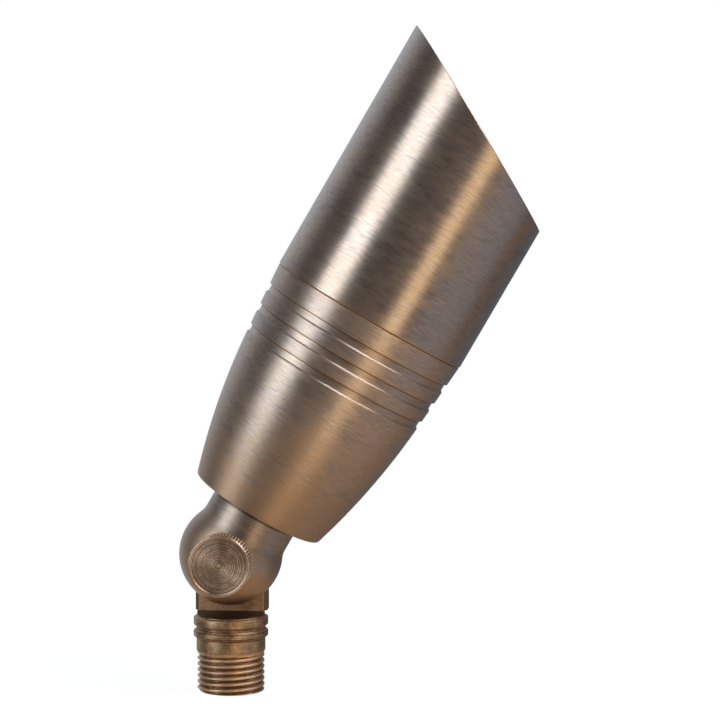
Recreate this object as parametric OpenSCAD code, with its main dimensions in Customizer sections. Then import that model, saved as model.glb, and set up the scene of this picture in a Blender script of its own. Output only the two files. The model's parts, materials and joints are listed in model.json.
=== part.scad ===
// Landscape spotlight: an angled-cut brass head on a clamped knuckle with a threaded stem.
// The origin is the centre of the stem's lower end, +Z runs up the stem,
// the head leans towards +X and the thumb screw faces -Y. Sizes are millimetres.

/* [Aim] */
// Lean of the head from upright
head_lean = 30.1; // [0:0.1:60]

/* [Housing] */
// Length of the housing from its flat bottom to the seam
body_len = 68.2; // [66:0.1:80]
// Diameter of the housing at the seam
body_d = 63.2; // [62:0.1:66]
// Half angle of the straight taper below the seam
body_draft = 4.2; // [3.4:0.1:4.8]
// Length of the straight taper below the seam
draft_len = 22; // [21.5:0.1:26]
// Radius of the long curve below the straight taper
ogive_r = 212; // [195:1:260]
// Round of the housing's bottom edge
bottom_round = 0.8; // [0.4:0.1:1.5]
// Thickness of the housing's floor
floor_t = 4; // [3.5:0.1:6]
// Radius of the wiring chamber
chamber_r = 18.4; // [17:0.1:19]
// Number of turned grooves
groove_count = 3; // [1:1:3]
// Distance from the seam to the first groove
groove_first = 6.6; // [5:0.1:7]
// Distance from groove to groove
groove_pitch = 6.7; // [5:0.1:7]
// Width of a groove
groove_w = 2.45; // [1.5:0.05:3]
// Depth of a groove
groove_depth = 0.65; // [0.4:0.05:1]
// Length of the spigot that enters the shroud
spigot_len = 17; // [15:0.1:18]
// Thickness of an O-ring
o_ring_t = 1.8; // [1.5:0.1:2]
// Distance between the two O-rings
o_ring_pitch = 6; // [5:0.1:7]

/* [Shroud] */
// Outer diameter of the shroud
shroud_d = 63.5; // [62.5:0.1:66]
// Wall of the shroud
shroud_wall = 1.75; // [1.5:0.05:2]
// Length of the shroud on its long side
shroud_long = 82.7; // [75:0.1:95]
// Length of the shroud on its short side
shroud_short = 47.7; // [40:0.1:60]
// Open seam between shroud and housing
seam_gap = 0.25; // [0.1:0.05:0.5]
// Thickness of the glass lens
lens_t = 3.2; // [2.5:0.1:4]
// Thickness of the lens gasket
lens_gasket_t = 1; // [0.6:0.1:1.5]
// Thickness of the snap ring behind the lens
snap_t = 1; // [0.8:0.1:1.4]
// Depth of the snap ring's groove in the shroud wall
snap_groove = 0.7; // [0.4:0.05:0.8]
// Width of the inner rib that stops the lens
rib_w = 2; // [1.5:0.1:3]
// Height of the inner rib
rib_h = 2.6; // [2:0.1:3.5]

/* [Knuckle] */
// Diameter of the knuckle ball
knuckle_d = 31.75; // [31:0.05:33]
// Diameter of the neck between ball and housing
neck_d = 27.7; // [27:0.1:28.5]
// Fillet between neck and ball
neck_fillet = 8; // [4:0.5:10]
// Gap between the lower ball and the housing's bottom
nest_gap = 0.725; // [0.3:0.025:1]
// Open split between the two halves of the ball
split_gap = 0.1; // [0.06:0.02:0.2]
// Width of the milled shank under the lower ball
shank_w = 22.2; // [22:0.1:22.6]
// Chamfer beside the shank's milled face
shank_cut = 1.2; // [0.8:0.1:1.8]
// Chamfer of the shank's back corners
shank_back_cut = 4.8; // [3.5:0.1:6]
// Distance from the screw axis to the flat on the front of the ball
ball_flat = 13; // [12.5:0.1:13.5]
// Radius of the turning hub between the halves
hub_r = 6; // [5.5:0.1:6.5]
// Length of the turning hub
hub_len = 2.5; // [2:0.1:3]
// Outer radius of the wire channel round the hub
channel_r = 12.4; // [12:0.1:12.6]
// Wall round the hub's socket, inside the wire channel
socket_wall = 2.2; // [1.5:0.1:2.4]
// Depth of the wire channel in each half
channel_depth = 5.5; // [5:0.1:6]
// Radius of the wire bores
wire_bore_r = 2.8; // [2.4:0.1:3]
// Width of the flat gasket between the halves
split_gasket_w = 1.6; // [1:0.1:1.8]
// Thickness of the flat gasket between the halves
split_gasket_t = 1; // [0.8:0.1:1.5]

/* [Neck fixing] */
// Radius of the threaded spigot inside the housing
fix_r = 10.5; // [10:0.1:11]
// Thickness of the flange let into the housing's bottom
flange_t = 1.2; // [1:0.1:1.5]
// Thickness of the gasket above the flange
flange_gasket_t = 0.5; // [0.4:0.1:0.8]
// Thickness of the lock washer
lock_washer_t = 1; // [0.8:0.1:1.5]
// Thickness of the locknut
locknut_t = 4; // [3:0.1:5]
// Width of the locknut across its corners
locknut_d = 29; // [27:0.1:31]

/* [Thumb screw] */
// Diameter of the knurled head
thumb_d = 18.5; // [17:0.1:20]
// Thickness of the knurled head
thumb_t = 7; // [5:0.1:8]
// Length of the plain collar behind the head
collar_len = 8.2; // [5:0.1:10]
// Radius of the plain collar
collar_r = 5.6; // [5:0.1:6.5]
// Radius of the screw's shank
screw_r = 3.175; // [2.9:0.005:3.3]
// Length of screw in the lower half
screw_grip = 8.5; // [6:0.1:9]
// Number of knurls round the head
knurl_count = 60; // [40:1:64]
// Depth of the knurls
knurl_depth = 0.35; // [0.2:0.05:0.5]
// Chamfer round the head's face
thumb_chamfer = 0.4; // [0.35:0.05:0.8]
// Thickness of the washer
washer_t = 1; // [0.8:0.1:1.5]
// Outer radius of the washer
washer_r = 7.4; // [6.5:0.1:8]

/* [Stem] */
// Radius over the pipe thread
thread_r = 10.3; // [10.2:0.05:10.5]
// Length of the pipe thread
thread_len = 12; // [10:0.1:16]
// Length of the chamfer above the thread
run_out = 0.8; // [0.5:0.1:1.2]
// Radius of the plain boss above the thread
boss_r = 10.6; // [10.6:0.05:11]
// Height of the plain boss
boss_len = 3.6; // [2.5:0.05:5]
// Radius of the two rings
ring_r = 11.45; // [11.3:0.05:12]
// Height of the lower ring's straight edge
lower_ring_w = 1.45; // [1.2:0.05:2.4]
// Height of the upper ring's straight edge
upper_ring_w = 2.15; // [1.4:0.05:2.4]
// Height of the slope beside a ring
ring_slope = 0.75; // [0.5:0.05:1]
// Radius at the bottom of the groove between the rings
ring_groove_r = 10.6; // [10.2:0.05:10.8]
// Height of the groove's floor
ring_groove_w = 0.5; // [0.3:0.1:1]
// Height of the stub above the upper ring
stub_len = 1.7; // [1.2:0.05:3]
// Radius of the stub at the upper ring
stub_foot_r = 10.5; // [10.4:0.05:11.2]
// Radius of the flat top of the turned stem
ledge_r = 10.35; // [10.2:0.05:10.4]
// How far the milled ledge in front of the shank falls towards its rim
ledge_fall = 1.15; // [0:0.05:1.2]
// Distance from the screw axis down to the flat top of the stem
ledge_drop = 17.75; // [17:0.05:19]
// Radius of the cable bushing's seat
bushing_r = 7.4; // [6.5:0.1:7.6]
// Length of the cable bushing
bushing_len = 8; // [6:0.1:10]
// Radius of the cable hole in the bushing
cable_r = 2.75; // [2:0.05:3.5]
// Radius of the bore up the stem
stem_bore_r = 5.2; // [4:0.1:5.6]

/* [Lamp] */
// Diameter of the lamp's rim
lamp_d = 50; // [49.5:0.1:50.5]
// Length of the lamp from its base to its front
lamp_len = 44.5; // [43:0.1:46]
// Gap between the lamp and the housing's bore
lamp_gap = 1.3; // [1:0.1:1.4]
// Gap between the lamp's front and the spigot's end
lamp_inset = 2.3; // [1.5:0.1:3.5]
// Height of the lamp's rim
rim_h = 2.6; // [2:0.1:4]
// Wall of the lamp's reflector
reflector_wall = 1.5; // [1.2:0.1:2]
// Radius of the reflector's rear collar
rear_r = 10; // [9.5:0.1:11]
// Height of the lamp's ceramic base
base_h = 10; // [8:0.1:12]
// Distance between the lamp's pins
pin_pitch = 5.3; // [5:0.1:6]
// Radius of a lamp pin
pin_r = 0.75; // [0.6:0.05:0.8]
// Length of a lamp pin
pin_len = 7; // [6:0.1:7.5]
// Radius of the halogen capsule
capsule_r = 4.6; // [4:0.1:5.5]
// Length of the halogen capsule
capsule_len = 18; // [14:0.1:20]

/* [Socket] */
// Height of the ceramic socket
socket_h = 9.5; // [8.5:0.1:11]
// Width of the ceramic socket
socket_w = 13; // [12:0.1:15]
// Distance between the socket's two screws
socket_screw_pitch = 22; // [20:0.1:24]
// Thickness of the plate that carries the socket
plate_t = 1.5; // [1.2:0.1:2]
// Radius of the socket's and the plate's screws
small_screw_r = 1.2; // [1:0.05:1.5]
// Radius of a connection lead
lead_r = 0.9; // [0.6:0.05:1]
// Radius of a crimp connector
crimp_r = 2.3; // [2:0.1:2.4]
// Length of a crimp connector
crimp_len = 10; // [7:0.1:11]

/* [Hidden] */
$fn = 96;

// Clearances between pieces
touch_gap = 0.01;
seat_gap = 0.05;
hinge_gap = 0.05;
tap_gap = 0.075;
slip_gap = 0.1;
washer_gap = 0.3;
screw_gap = 0.4;
spigot_gap = 0.4;
// Small overrun of a cutter past the face that it opens
eps = 0.5;
// Overrun of a cutter that starts in the open
over = 1;
// Larger than the object, for half spaces
big = 400;
// Fine enough for the long curve
long_fn = 720;

bronze = [0.55, 0.42, 0.28];
dark_bronze = [0.42, 0.32, 0.22];
bright_brass = [0.80, 0.65, 0.38];
steel = [0.72, 0.72, 0.72];
black_rubber = [0.10, 0.10, 0.10];
ceramic = [0.92, 0.90, 0.85];
silver = [0.85, 0.85, 0.87];
glass = [0.80, 0.90, 0.92, 0.4];

// Stem heights, counted up from its lower end
shoulder = 0.45;
stem_roof = 4;
bushing_recess = 0.5;
bushing_chamfer = 0.6;
boss_z = thread_len + run_out;
lower_ring_z = boss_z + boss_len;
lower_ring_top = lower_ring_z + ring_slope + lower_ring_w;
groove_z = lower_ring_top + ring_slope;
upper_ring_z = groove_z + ring_groove_w;
upper_ring_top = upper_ring_z + ring_slope + upper_ring_w;
ledge_z = upper_ring_top + stub_len;
pivot_z = ledge_z + ledge_drop;
bore_top_z = ledge_z - stem_roof;

// Distances along the head's axis, counted from the screw axis
knuckle_r = knuckle_d / 2;
neck_r = neck_d / 2;
s_bottom = knuckle_r + nest_gap;
s_seam = s_bottom + body_len;
s_floor = s_bottom + floor_t;
s_spigot = s_seam + spigot_len;
s_draft = s_seam - draft_len;

// The housing's outline: a straight taper, then a circle tangent to it
seam_r = body_d / 2;
draft_r = seam_r - draft_len * tan(body_draft);
ogive_x = draft_r - ogive_r * cos(body_draft);
ogive_s = s_draft + ogive_r * sin(body_draft);
function ogive_at(s) = ogive_x + sqrt(pow(ogive_r, 2) - pow(ogive_s - s, 2));
bottom_r = ogive_at(s_bottom);

// Shroud and spigot
shroud_r = shroud_d / 2;
shroud_bore = shroud_r - shroud_wall;
s_shroud = s_seam + seam_gap;
s_tip = s_seam + shroud_long;
s_short = s_seam + shroud_short;
cut_angle = atan((s_tip - s_short) / shroud_d);
spigot_r = shroud_bore - spigot_gap;
o_ring_out = shroud_bore - slip_gap;
o_ring_r = o_ring_out - o_ring_t / 2;
o_groove_floor = o_ring_out - o_ring_t - seat_gap;
o_groove_room = 0.6;
o_groove_w = o_ring_t + o_groove_room;
s_o_ring = s_seam + (spigot_len - o_ring_pitch) / 2;
s_snap = s_spigot + spigot_gap;
s_lens = s_snap + snap_t + seat_gap;
s_lens_gasket = s_lens + lens_t + seat_gap;
s_rib = s_lens_gasket + lens_gasket_t + seat_gap;
lens_r = shroud_bore - spigot_gap;
rib_r = shroud_bore - rib_h;
snap_height = 2.2;
snap_in = lens_r - snap_height;
rib_slope = 0.6;
snap_slack = 0.3;
snap_top = s_snap + snap_t + slip_gap;
snap_floor = s_snap - slip_gap;
snap_groove_r = shroud_bore + snap_groove;

// Lamp, socket and plate
lamp_r = lamp_d / 2;
lamp_bore = lamp_r + lamp_gap;
s_lamp_front = s_spigot - lamp_inset;
s_lamp_base = s_lamp_front - lamp_len;
s_plate = s_lamp_base - socket_h - plate_t - 2 * seat_gap;
s_socket = s_plate + plate_t + seat_gap;
plate_step = 2.1;
plate_bore = lamp_bore - plate_step;
plate_gap = 0.3;
plate_r = plate_bore - plate_gap;
bore_step_room = 4;
s_bore_step = s_socket + socket_h + bore_step_room;
s_bore_full = s_bore_step + 2 * plate_step;
plate_screw_at = (chamber_r + plate_bore) / 2;
s_base_top = s_lamp_base + base_h;
s_rear = s_base_top + seat_gap;
rear_h = 2.5;
s_bowl = s_rear + rear_h;
cover_t = 1.2;
s_cover = s_lamp_front - cover_t;
cover_rim = 1.4;
cover_seat_r = lamp_r - cover_rim;
s_rim = s_lamp_front - rim_h;
rim_step = 0.6;
bowl_front_r = lamp_r - rim_step;
throat = 3;
bowl_steps = 14;
base_flat = 12;
base_gap = 0.4;
base_hole = 3;
pin_seat = 2.9;

// Socket, its screws and its leads
plate_screw_len = 6;
socket_screw_len = 7;
plate_window = 2.4;
ear_rim = 2.2;
ear_h = 4;
socket_round = 0.62;
contact_wall = 0.85;
contact_hole = contact_wall + seat_gap;
contact_lift = 0.2;
contact_floor = 1;
contact_top_gap = 0.6;
s_crimp = s_floor + 7;
crimp_round = 0.5;
crimp_hole = 3;
s_lead = s_crimp + crimp_len - crimp_hole;

// Neck fixing
flange_r = neck_r;
s_flange = s_bottom + flange_t;
s_gasket_top = s_flange + flange_gasket_t;
s_washer = s_floor + seat_gap;
s_nut = s_washer + lock_washer_t + seat_gap;
fix_rise = 1;
s_fix_top = s_nut + locknut_t + fix_rise;
fix_hole_r = fix_r + slip_gap;
washer_rim = 0.5;
gasket_slack = 0.2;
gasket_touch = 0.02;
wire_step = 0.5;
wire_y = channel_depth + wire_step;
grommet_plug = 4;
grommet_wall = 0.9;
grommet_rim = 1.3;
grommet_head = 1.4;
grommet_round = 0.5;

// Knuckle
half_split = split_gap / 2;
socket_r = hub_r + hinge_gap;
channel_in = socket_r + socket_wall;
channel_web = 1;
gasket_web = 0.8;
gasket_in = channel_r + gasket_web;
thread_hole_r = screw_r + tap_gap;
screw_hole_r = screw_r + screw_gap;
drill_room = 1.5;
blind_depth = screw_grip + drill_room;
fillet_s = sqrt(pow(knuckle_r + neck_fillet, 2) - pow(neck_r + neck_fillet, 2));
fillet_end = fillet_s * knuckle_r / (knuckle_r + neck_fillet);
fillet_end_r = (neck_r + neck_fillet) * knuckle_r / (knuckle_r + neck_fillet);

// Thumb screw, counted forwards from the split
washer_y = ball_flat + seat_gap;
collar_y = washer_y + washer_t + seat_gap;
thumb_y = collar_y + collar_len;
face_y = thumb_y + thumb_t;

// Moves a piece made along the head's axis to its place
module on_head() {
    translate([0, 0, pivot_z]) rotate([0, head_lean, 0]) children();
}

// Moves a piece made upright so that its top points forwards along the screw axis
module on_screw() {
    translate([0, 0, pivot_z]) rotate([90, 0, 0]) children();
}

// A flat or thick ring
module ring(r_out, r_in, h) {
    difference() {
        cylinder(r = r_out, h = h);
        translate([0, 0, -eps]) cylinder(r = r_in, h = h + 2 * eps);
    }
}

// The room of the wire channel, from the split inwards
module channel(depth) {
    translate([0, 0, -eps]) ring(channel_r, channel_in, depth + eps);
}

// A pan-head screw with its head above z = 0
module small_screw(len) {
    head_r = 1.9 * small_screw_r;
    crown_r = 0.6 * head_r;
    head_edge = 0.7 * small_screw_r;
    head_top = 1.2 * small_screw_r;
    rotate_extrude() polygon([
        [0, -len], [small_screw_r, -len], [small_screw_r, 0],
        [head_r, 0], [head_r, head_edge], [crown_r, head_top], [0, head_top]
    ]);
}

module stem_outline() {
    polygon([
        [0, 0], [thread_r, 0], [thread_r, thread_len], [boss_r, boss_z],
        [boss_r, lower_ring_z], [ring_r, lower_ring_z + ring_slope],
        [ring_r, lower_ring_top], [ring_groove_r, groove_z],
        [ring_groove_r, upper_ring_z], [ring_r, upper_ring_z + ring_slope],
        [ring_r, upper_ring_top], [stub_foot_r, upper_ring_top + shoulder],
        [ledge_r, ledge_z], [0, ledge_z]
    ]);
}

// Turned stem, with the ledge that the mill left in front of the shank
module turned_stem() {
    fall = ledge_fall / ledge_r;
    difference() {
        rotate_extrude() stem_outline();
        translate([-big / 2, 0, ledge_z]) rotate([90, 0, 90]) linear_extrude(big) polygon([
            [half_split, 0], [-big, -(big + half_split) * fall], [-big, big], [half_split, big]
        ]);
    }
}

module shank() {
    half = shank_w / 2;
    translate([0, 0, ledge_z - touch_gap]) linear_extrude(ledge_drop) polygon([
        [-half + shank_cut, half_split], [half - shank_cut, half_split],
        [half, half_split + shank_cut], [half, half - shank_back_cut],
        [half - shank_back_cut, half], [-half + shank_back_cut, half],
        [-half, half - shank_back_cut], [-half, half_split + shank_cut]
    ]);
}

module lower_knuckle() {
    color(bronze) difference() {
        union() {
            turned_stem();
            shank();
            intersection() {
                translate([0, 0, pivot_z]) sphere(r = knuckle_r);
                translate([-big / 2, half_split, 0]) cube([big, big, big]);
            }
            on_screw() translate([0, 0, -over]) cylinder(r = hub_r, h = over + hub_len);
        }
        translate([0, 0, -eps])
            cylinder(r = bushing_r, h = bushing_len + 2 * bushing_recess + eps);
        cylinder(r = stem_bore_r, h = bore_top_z);
        translate([0, wire_y, bore_top_z - over])
            cylinder(r = wire_bore_r, h = pivot_z - bore_top_z + over - channel_in - channel_web);
        on_screw() mirror([0, 0, 1]) translate([0, 0, half_split]) channel(channel_depth);
        on_screw() translate([0, 0, -blind_depth])
            cylinder(r = thread_hole_r, h = blind_depth + hub_len + eps);
        on_screw() translate([0, 0, -half_split - split_gasket_t])
            ring(gasket_in + split_gasket_w + slip_gap, gasket_in - slip_gap,
                split_gasket_t + eps);
    }
}

module wire_bushing() {
    outer_r = bushing_r - slip_gap;
    color(black_rubber) translate([0, 0, bushing_recess]) difference() {
        rotate_extrude() polygon([
            [0, 0], [outer_r - bushing_chamfer, 0], [outer_r, bushing_chamfer],
            [outer_r, bushing_len], [0, bushing_len]
        ]);
        translate([0, 0, -eps]) cylinder(r = cable_r, h = bushing_len + 2 * eps);
    }
}

module knuckle_gasket() {
    color(black_rubber) on_screw() translate([0, 0, -half_split - split_gasket_t + touch_gap])
        ring(gasket_in + split_gasket_w, gasket_in, split_gasket_t + half_split - touch_gap);
}

module screw_washer() {
    color(steel) on_screw() translate([0, 0, washer_y])
        ring(washer_r, screw_r + washer_gap, washer_t);
}

module thumb_screw() {
    color(dark_bronze) on_screw() {
        translate([0, 0, -screw_grip]) cylinder(r = screw_r, h = screw_grip + thumb_y);
        translate([0, 0, collar_y]) cylinder(r = collar_r, h = collar_len);
        knurled_head();
    }
}

module knurled_head() {
    thumb_r = thumb_d / 2;
    step = 180 / knurl_count;
    intersection() {
        translate([0, 0, thumb_y]) linear_extrude(thumb_t) polygon([
            for (i = [0 : 2 * knurl_count - 1])
                (thumb_r - (i % 2) * knurl_depth) * [cos(i * step), sin(i * step)]
        ]);
        rotate_extrude() polygon([
            [0, thumb_y - over], [thumb_r - thumb_chamfer - over, thumb_y - over],
            [thumb_r + over, thumb_y + over + thumb_chamfer],
            [thumb_r + over, face_y - over - thumb_chamfer],
            [thumb_r - thumb_chamfer - over, face_y + over], [0, face_y + over]
        ]);
    }
}

// Half outline of the upper half's ball, fillet and neck
module ball_outline() {
    difference() {
        union() {
            intersection() {
                circle(r = knuckle_r);
                translate([0, -big / 2]) square([big, big / 2 + fillet_end]);
            }
            translate([0, fillet_end - over])
                square([fillet_end_r, fillet_s - fillet_end + over]);
            square([neck_r, s_bottom]);
        }
        translate([neck_r + neck_fillet, fillet_s]) circle(r = neck_fillet);
        translate([-big, -big / 2]) square([big, big]);
    }
}

module upper_knuckle() {
    color(bronze) on_head() difference() {
        union() {
            intersection() {
                rotate_extrude() ball_outline();
                translate([-big / 2, -big - half_split, -big / 2]) cube([big, big, big]);
            }
            translate([0, 0, s_bottom]) cylinder(r = flange_r, h = flange_t);
            translate([0, 0, s_bottom]) cylinder(r = fix_r, h = s_fix_top - s_bottom);
        }
        rotate([90, 0, 0]) {
            translate([0, 0, ball_flat]) cylinder(r = knuckle_r, h = knuckle_r);
            translate([0, 0, -eps]) cylinder(r = socket_r, h = hub_len + slip_gap + eps);
            cylinder(r = screw_hole_r, h = knuckle_r + eps);
            translate([0, 0, half_split]) channel(channel_depth);
        }
        translate([0, -wire_y, channel_in + channel_web])
            cylinder(r = wire_bore_r, h = s_fix_top);
    }
}

module flange_gasket() {
    color(black_rubber) on_head() translate([0, 0, s_flange + gasket_touch])
        ring(flange_r - gasket_slack, fix_hole_r + seat_gap, flange_gasket_t - 2 * gasket_touch);
}

module lock_washer() {
    color(steel) on_head() translate([0, 0, s_washer])
        ring(locknut_d / 2 - washer_rim, fix_hole_r, lock_washer_t);
}

module knuckle_locknut() {
    color(bright_brass) on_head() translate([0, 0, s_nut]) difference() {
        cylinder(d = locknut_d, h = locknut_t, $fn = 6);
        translate([0, 0, -eps]) cylinder(r = fix_hole_r, h = locknut_t + 2 * eps);
    }
}

module neck_grommet() {
    grommet_r = wire_bore_r + grommet_rim;
    plug_r = wire_bore_r - seat_gap;
    color(black_rubber) on_head() translate([0, -wire_y, s_fix_top]) difference() {
        rotate_extrude() polygon([
            [0, -grommet_plug], [plug_r, -grommet_plug], [plug_r, seat_gap],
            [grommet_r, seat_gap], [grommet_r, grommet_head - grommet_round],
            [grommet_r - grommet_round, grommet_head], [0, grommet_head]
        ]);
        translate([0, 0, -grommet_plug - eps])
            cylinder(r = plug_r - grommet_wall, h = grommet_plug + grommet_head + 2 * eps);
    }
}

// Half outline of the housing with its grooves, bores and bottom recess
module housing_outline() {
    difference() {
        union() {
            intersection() {
                translate([0, s_bottom]) square([big, s_draft - s_bottom]);
                translate([ogive_x, ogive_s]) circle(r = ogive_r, $fn = long_fn);
            }
            polygon([[0, s_draft], [draft_r, s_draft], [seam_r, s_seam], [0, s_seam]]);
            translate([0, s_seam - over]) square([spigot_r, spigot_len + over]);
        }
        for (i = [0 : groove_count - 1]) {
            top = s_seam - groove_first - i * groove_pitch;
            mid_r = seam_r - (s_seam - top + groove_w / 2) * tan(body_draft);
            translate([mid_r - groove_depth, top - groove_w]) square([big, groove_w]);
        }
        for (i = [0, 1])
            translate([o_groove_floor, s_o_ring + i * o_ring_pitch - o_groove_w / 2])
                square([big, o_groove_w]);
        translate([bottom_r - bottom_round, s_bottom]) difference() {
            translate([0, -over]) square([2 * over, over + bottom_round]);
            translate([-over, bottom_round]) circle(r = over + bottom_round);
        }
        polygon([
            [0, s_bottom - over], [flange_r + slip_gap, s_bottom - over],
            [flange_r + slip_gap, s_gasket_top], [fix_hole_r, s_gasket_top],
            [fix_hole_r, s_floor], [chamber_r, s_floor],
            [chamber_r, s_plate - seat_gap], [plate_bore, s_plate - seat_gap],
            [plate_bore, s_bore_step], [lamp_bore, s_bore_full],
            [lamp_bore, s_spigot + over], [0, s_spigot + over]
        ]);
        translate([-big, -big / 2]) square([big, big]);
    }
}

module housing() {
    color(bronze) on_head() difference() {
        rotate_extrude() housing_outline();
        for (side = [-1, 1])
            translate([0, side * plate_screw_at, s_plate - plate_screw_len])
                cylinder(r = small_screw_r + seat_gap, h = plate_screw_len + eps);
    }
}

module o_rings() {
    color(black_rubber) on_head() for (i = [0, 1])
        translate([0, 0, s_o_ring + i * o_ring_pitch])
            rotate_extrude() translate([o_ring_r, 0]) circle(r = o_ring_t / 2, $fn = 32);
}

module socket_plate() {
    color(steel) on_head() translate([0, 0, s_plate]) difference() {
        cylinder(r = plate_r, h = plate_t);
        translate([0, 0, -eps]) cylinder(r = pin_pitch / 2 + plate_window, h = plate_t + 2 * eps);
        for (side = [-1, 1]) {
            translate([0, side * plate_screw_at, -eps])
                cylinder(r = small_screw_r + slip_gap, h = plate_t + 2 * eps);
            translate([side * socket_screw_pitch / 2, 0, -eps])
                cylinder(r = small_screw_r + seat_gap, h = plate_t + 2 * eps);
        }
    }
}

module plate_screws() {
    color(steel) on_head() for (side = [-1, 1])
        translate([0, side * plate_screw_at, s_plate + plate_t + seat_gap])
            small_screw(plate_screw_len);
}

module socket_body() {
    ear_r = small_screw_r + ear_rim;
    color(ceramic) on_head() translate([0, 0, s_socket]) difference() {
        union() {
            intersection() {
                cylinder(r = socket_w * socket_round, h = socket_h);
                translate([-big / 2, -socket_w / 2, 0]) cube([big, socket_w, socket_h]);
            }
            translate([-socket_screw_pitch / 2, -ear_r, 0])
                cube([socket_screw_pitch, 2 * ear_r, ear_h]);
            for (side = [-1, 1])
                translate([side * socket_screw_pitch / 2, 0, 0]) cylinder(r = ear_r, h = ear_h);
        }
        for (side = [-1, 1]) {
            translate([side * pin_pitch / 2, 0, -eps])
                cylinder(r = pin_r + contact_hole, h = socket_h + 2 * eps);
            translate([side * socket_screw_pitch / 2, 0, -eps])
                cylinder(r = small_screw_r + slip_gap, h = socket_h + 2 * eps);
        }
    }
}

module socket_contacts() {
    color(bright_brass) on_head() for (side = [-1, 1])
        translate([side * pin_pitch / 2, 0, s_socket + contact_lift]) difference() {
            cylinder(r = pin_r + contact_wall, h = socket_h - contact_top_gap);
            translate([0, 0, contact_floor]) cylinder(r = pin_r + seat_gap, h = socket_h);
        }
}

module socket_screws() {
    color(steel) on_head() for (side = [-1, 1])
        translate([side * socket_screw_pitch / 2, 0, s_socket + ear_h + seat_gap])
            small_screw(socket_screw_len);
}

module lead_wires() {
    color(black_rubber) on_head() for (side = [-1, 1])
        translate([side * pin_pitch / 2, 0, s_lead])
            cylinder(r = lead_r, h = s_socket + contact_lift - seat_gap - s_lead);
}

module crimp_connectors() {
    color("beige") on_head() for (side = [-1, 1])
        translate([side * pin_pitch / 2, 0, s_crimp]) difference() {
            rotate_extrude() polygon([
                [0, 0], [crimp_r - crimp_round, 0], [crimp_r, crimp_round],
                [crimp_r, crimp_len], [0, crimp_len]
            ]);
            translate([0, 0, crimp_len - crimp_hole - seat_gap])
                cylinder(r = lead_r + seat_gap, h = crimp_hole + over);
        }
}

module lamp_base() {
    color(ceramic) on_head() translate([0, 0, s_lamp_base]) difference() {
        intersection() {
            cylinder(r = rear_r - base_gap, h = base_h);
            translate([-big / 2, -base_flat / 2, 0]) cube([big, base_flat, base_h]);
        }
        for (side = [-1, 1])
            translate([side * pin_pitch / 2, 0, -eps])
                cylinder(r = pin_r + seat_gap, h = base_hole + eps);
    }
}

module lamp_pins() {
    color(silver) on_head() for (side = [-1, 1])
        translate([side * pin_pitch / 2, 0, s_lamp_base - pin_len])
            cylinder(r = pin_r, h = pin_len + pin_seat);
}

// Radius of the bowl on its outside, at a share of its depth
function bowl_r(t) = sqrt(pow(rear_r, 2) + t * (pow(bowl_front_r, 2) - pow(rear_r, 2)));

module lamp_reflector() {
    s_inner = s_bowl + reflector_wall / 2;
    inner_rise = s_cover - eps - s_bowl - reflector_wall;
    color(silver) on_head() rotate_extrude() polygon(concat(
        [[rear_r - throat, s_rear], [rear_r, s_rear]],
        [for (i = [0 : bowl_steps])
            [bowl_r(i / bowl_steps), s_bowl + i / bowl_steps * (s_rim - s_bowl)]],
        [[lamp_r, s_rim], [lamp_r, s_lamp_front], [cover_seat_r, s_lamp_front],
         [cover_seat_r, s_cover - seat_gap]],
        [for (i = [bowl_steps : -1 : 1])
            [bowl_r(i / bowl_steps) - reflector_wall, s_inner + i / bowl_steps * inner_rise]],
        [[rear_r - throat, s_inner]]
    ));
}

module lamp_capsule() {
    color(glass) on_head() translate([0, 0, s_rear]) rotate_extrude() difference() {
        union() {
            square([capsule_r, capsule_len - capsule_r]);
            translate([0, capsule_len - capsule_r]) circle(r = capsule_r);
        }
        translate([-big, -big / 2]) square([big, big]);
    }
}

module lamp_cover_glass() {
    color(glass) on_head() translate([0, 0, s_cover])
        cylinder(r = cover_seat_r - seat_gap, h = cover_t);
}

module snap_ring() {
    gap = 7;
    ring_out = shroud_bore + snap_groove - snap_slack;
    color(steel) on_head() translate([0, 0, s_snap]) difference() {
        ring(ring_out, snap_in, snap_t);
        translate([0, -gap / 2, -eps]) cube([big, gap, snap_t + 2 * eps]);
    }
}

module lens() {
    edge = 0.4;
    color(glass) on_head() translate([0, 0, s_lens]) rotate_extrude() polygon([
        [0, 0], [lens_r - edge, 0], [lens_r, edge],
        [lens_r, lens_t - edge], [lens_r - edge, lens_t], [0, lens_t]
    ]);
}

module lens_gasket() {
    color(black_rubber) on_head() translate([0, 0, s_lens_gasket])
        ring(lens_r, rib_r + snap_slack, lens_gasket_t);
}

module shroud() {
    color(bronze) on_head() difference() {
        rotate_extrude() polygon([
            [shroud_bore, s_shroud], [shroud_r, s_shroud],
            [shroud_r, s_tip + over], [shroud_bore, s_tip + over],
            [shroud_bore, s_rib + rib_w + rib_slope], [rib_r, s_rib + rib_w],
            [rib_r, s_rib], [shroud_bore, s_rib], [shroud_bore, snap_top],
            [snap_groove_r, snap_top], [snap_groove_r, snap_floor], [shroud_bore, snap_floor]
        ]);
        translate([0, 0, (s_tip + s_short) / 2]) rotate([0, cut_angle, 0])
            translate([-big / 2, -big / 2, 0]) cube([big, big, big]);
    }
}

lower_knuckle();
wire_bushing();
knuckle_gasket();
screw_washer();
thumb_screw();
upper_knuckle();
flange_gasket();
lock_washer();
knuckle_locknut();
neck_grommet();
housing();
o_rings();
socket_plate();
plate_screws();
socket_body();
socket_contacts();
socket_screws();
lead_wires();
crimp_connectors();
lamp_base();
lamp_pins();
lamp_reflector();
lamp_capsule();
lamp_cover_glass();
snap_ring();
lens();
lens_gasket();
shroud();
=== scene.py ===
"""The looks of a turned-brass landscape spotlight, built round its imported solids.

Sizes are millimetres, as on a maker's drawing. A piece of the head is drawn upright, with its
heights counted from the screw axis, and is then leaned over and lifted to the pivot.
"""

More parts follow.
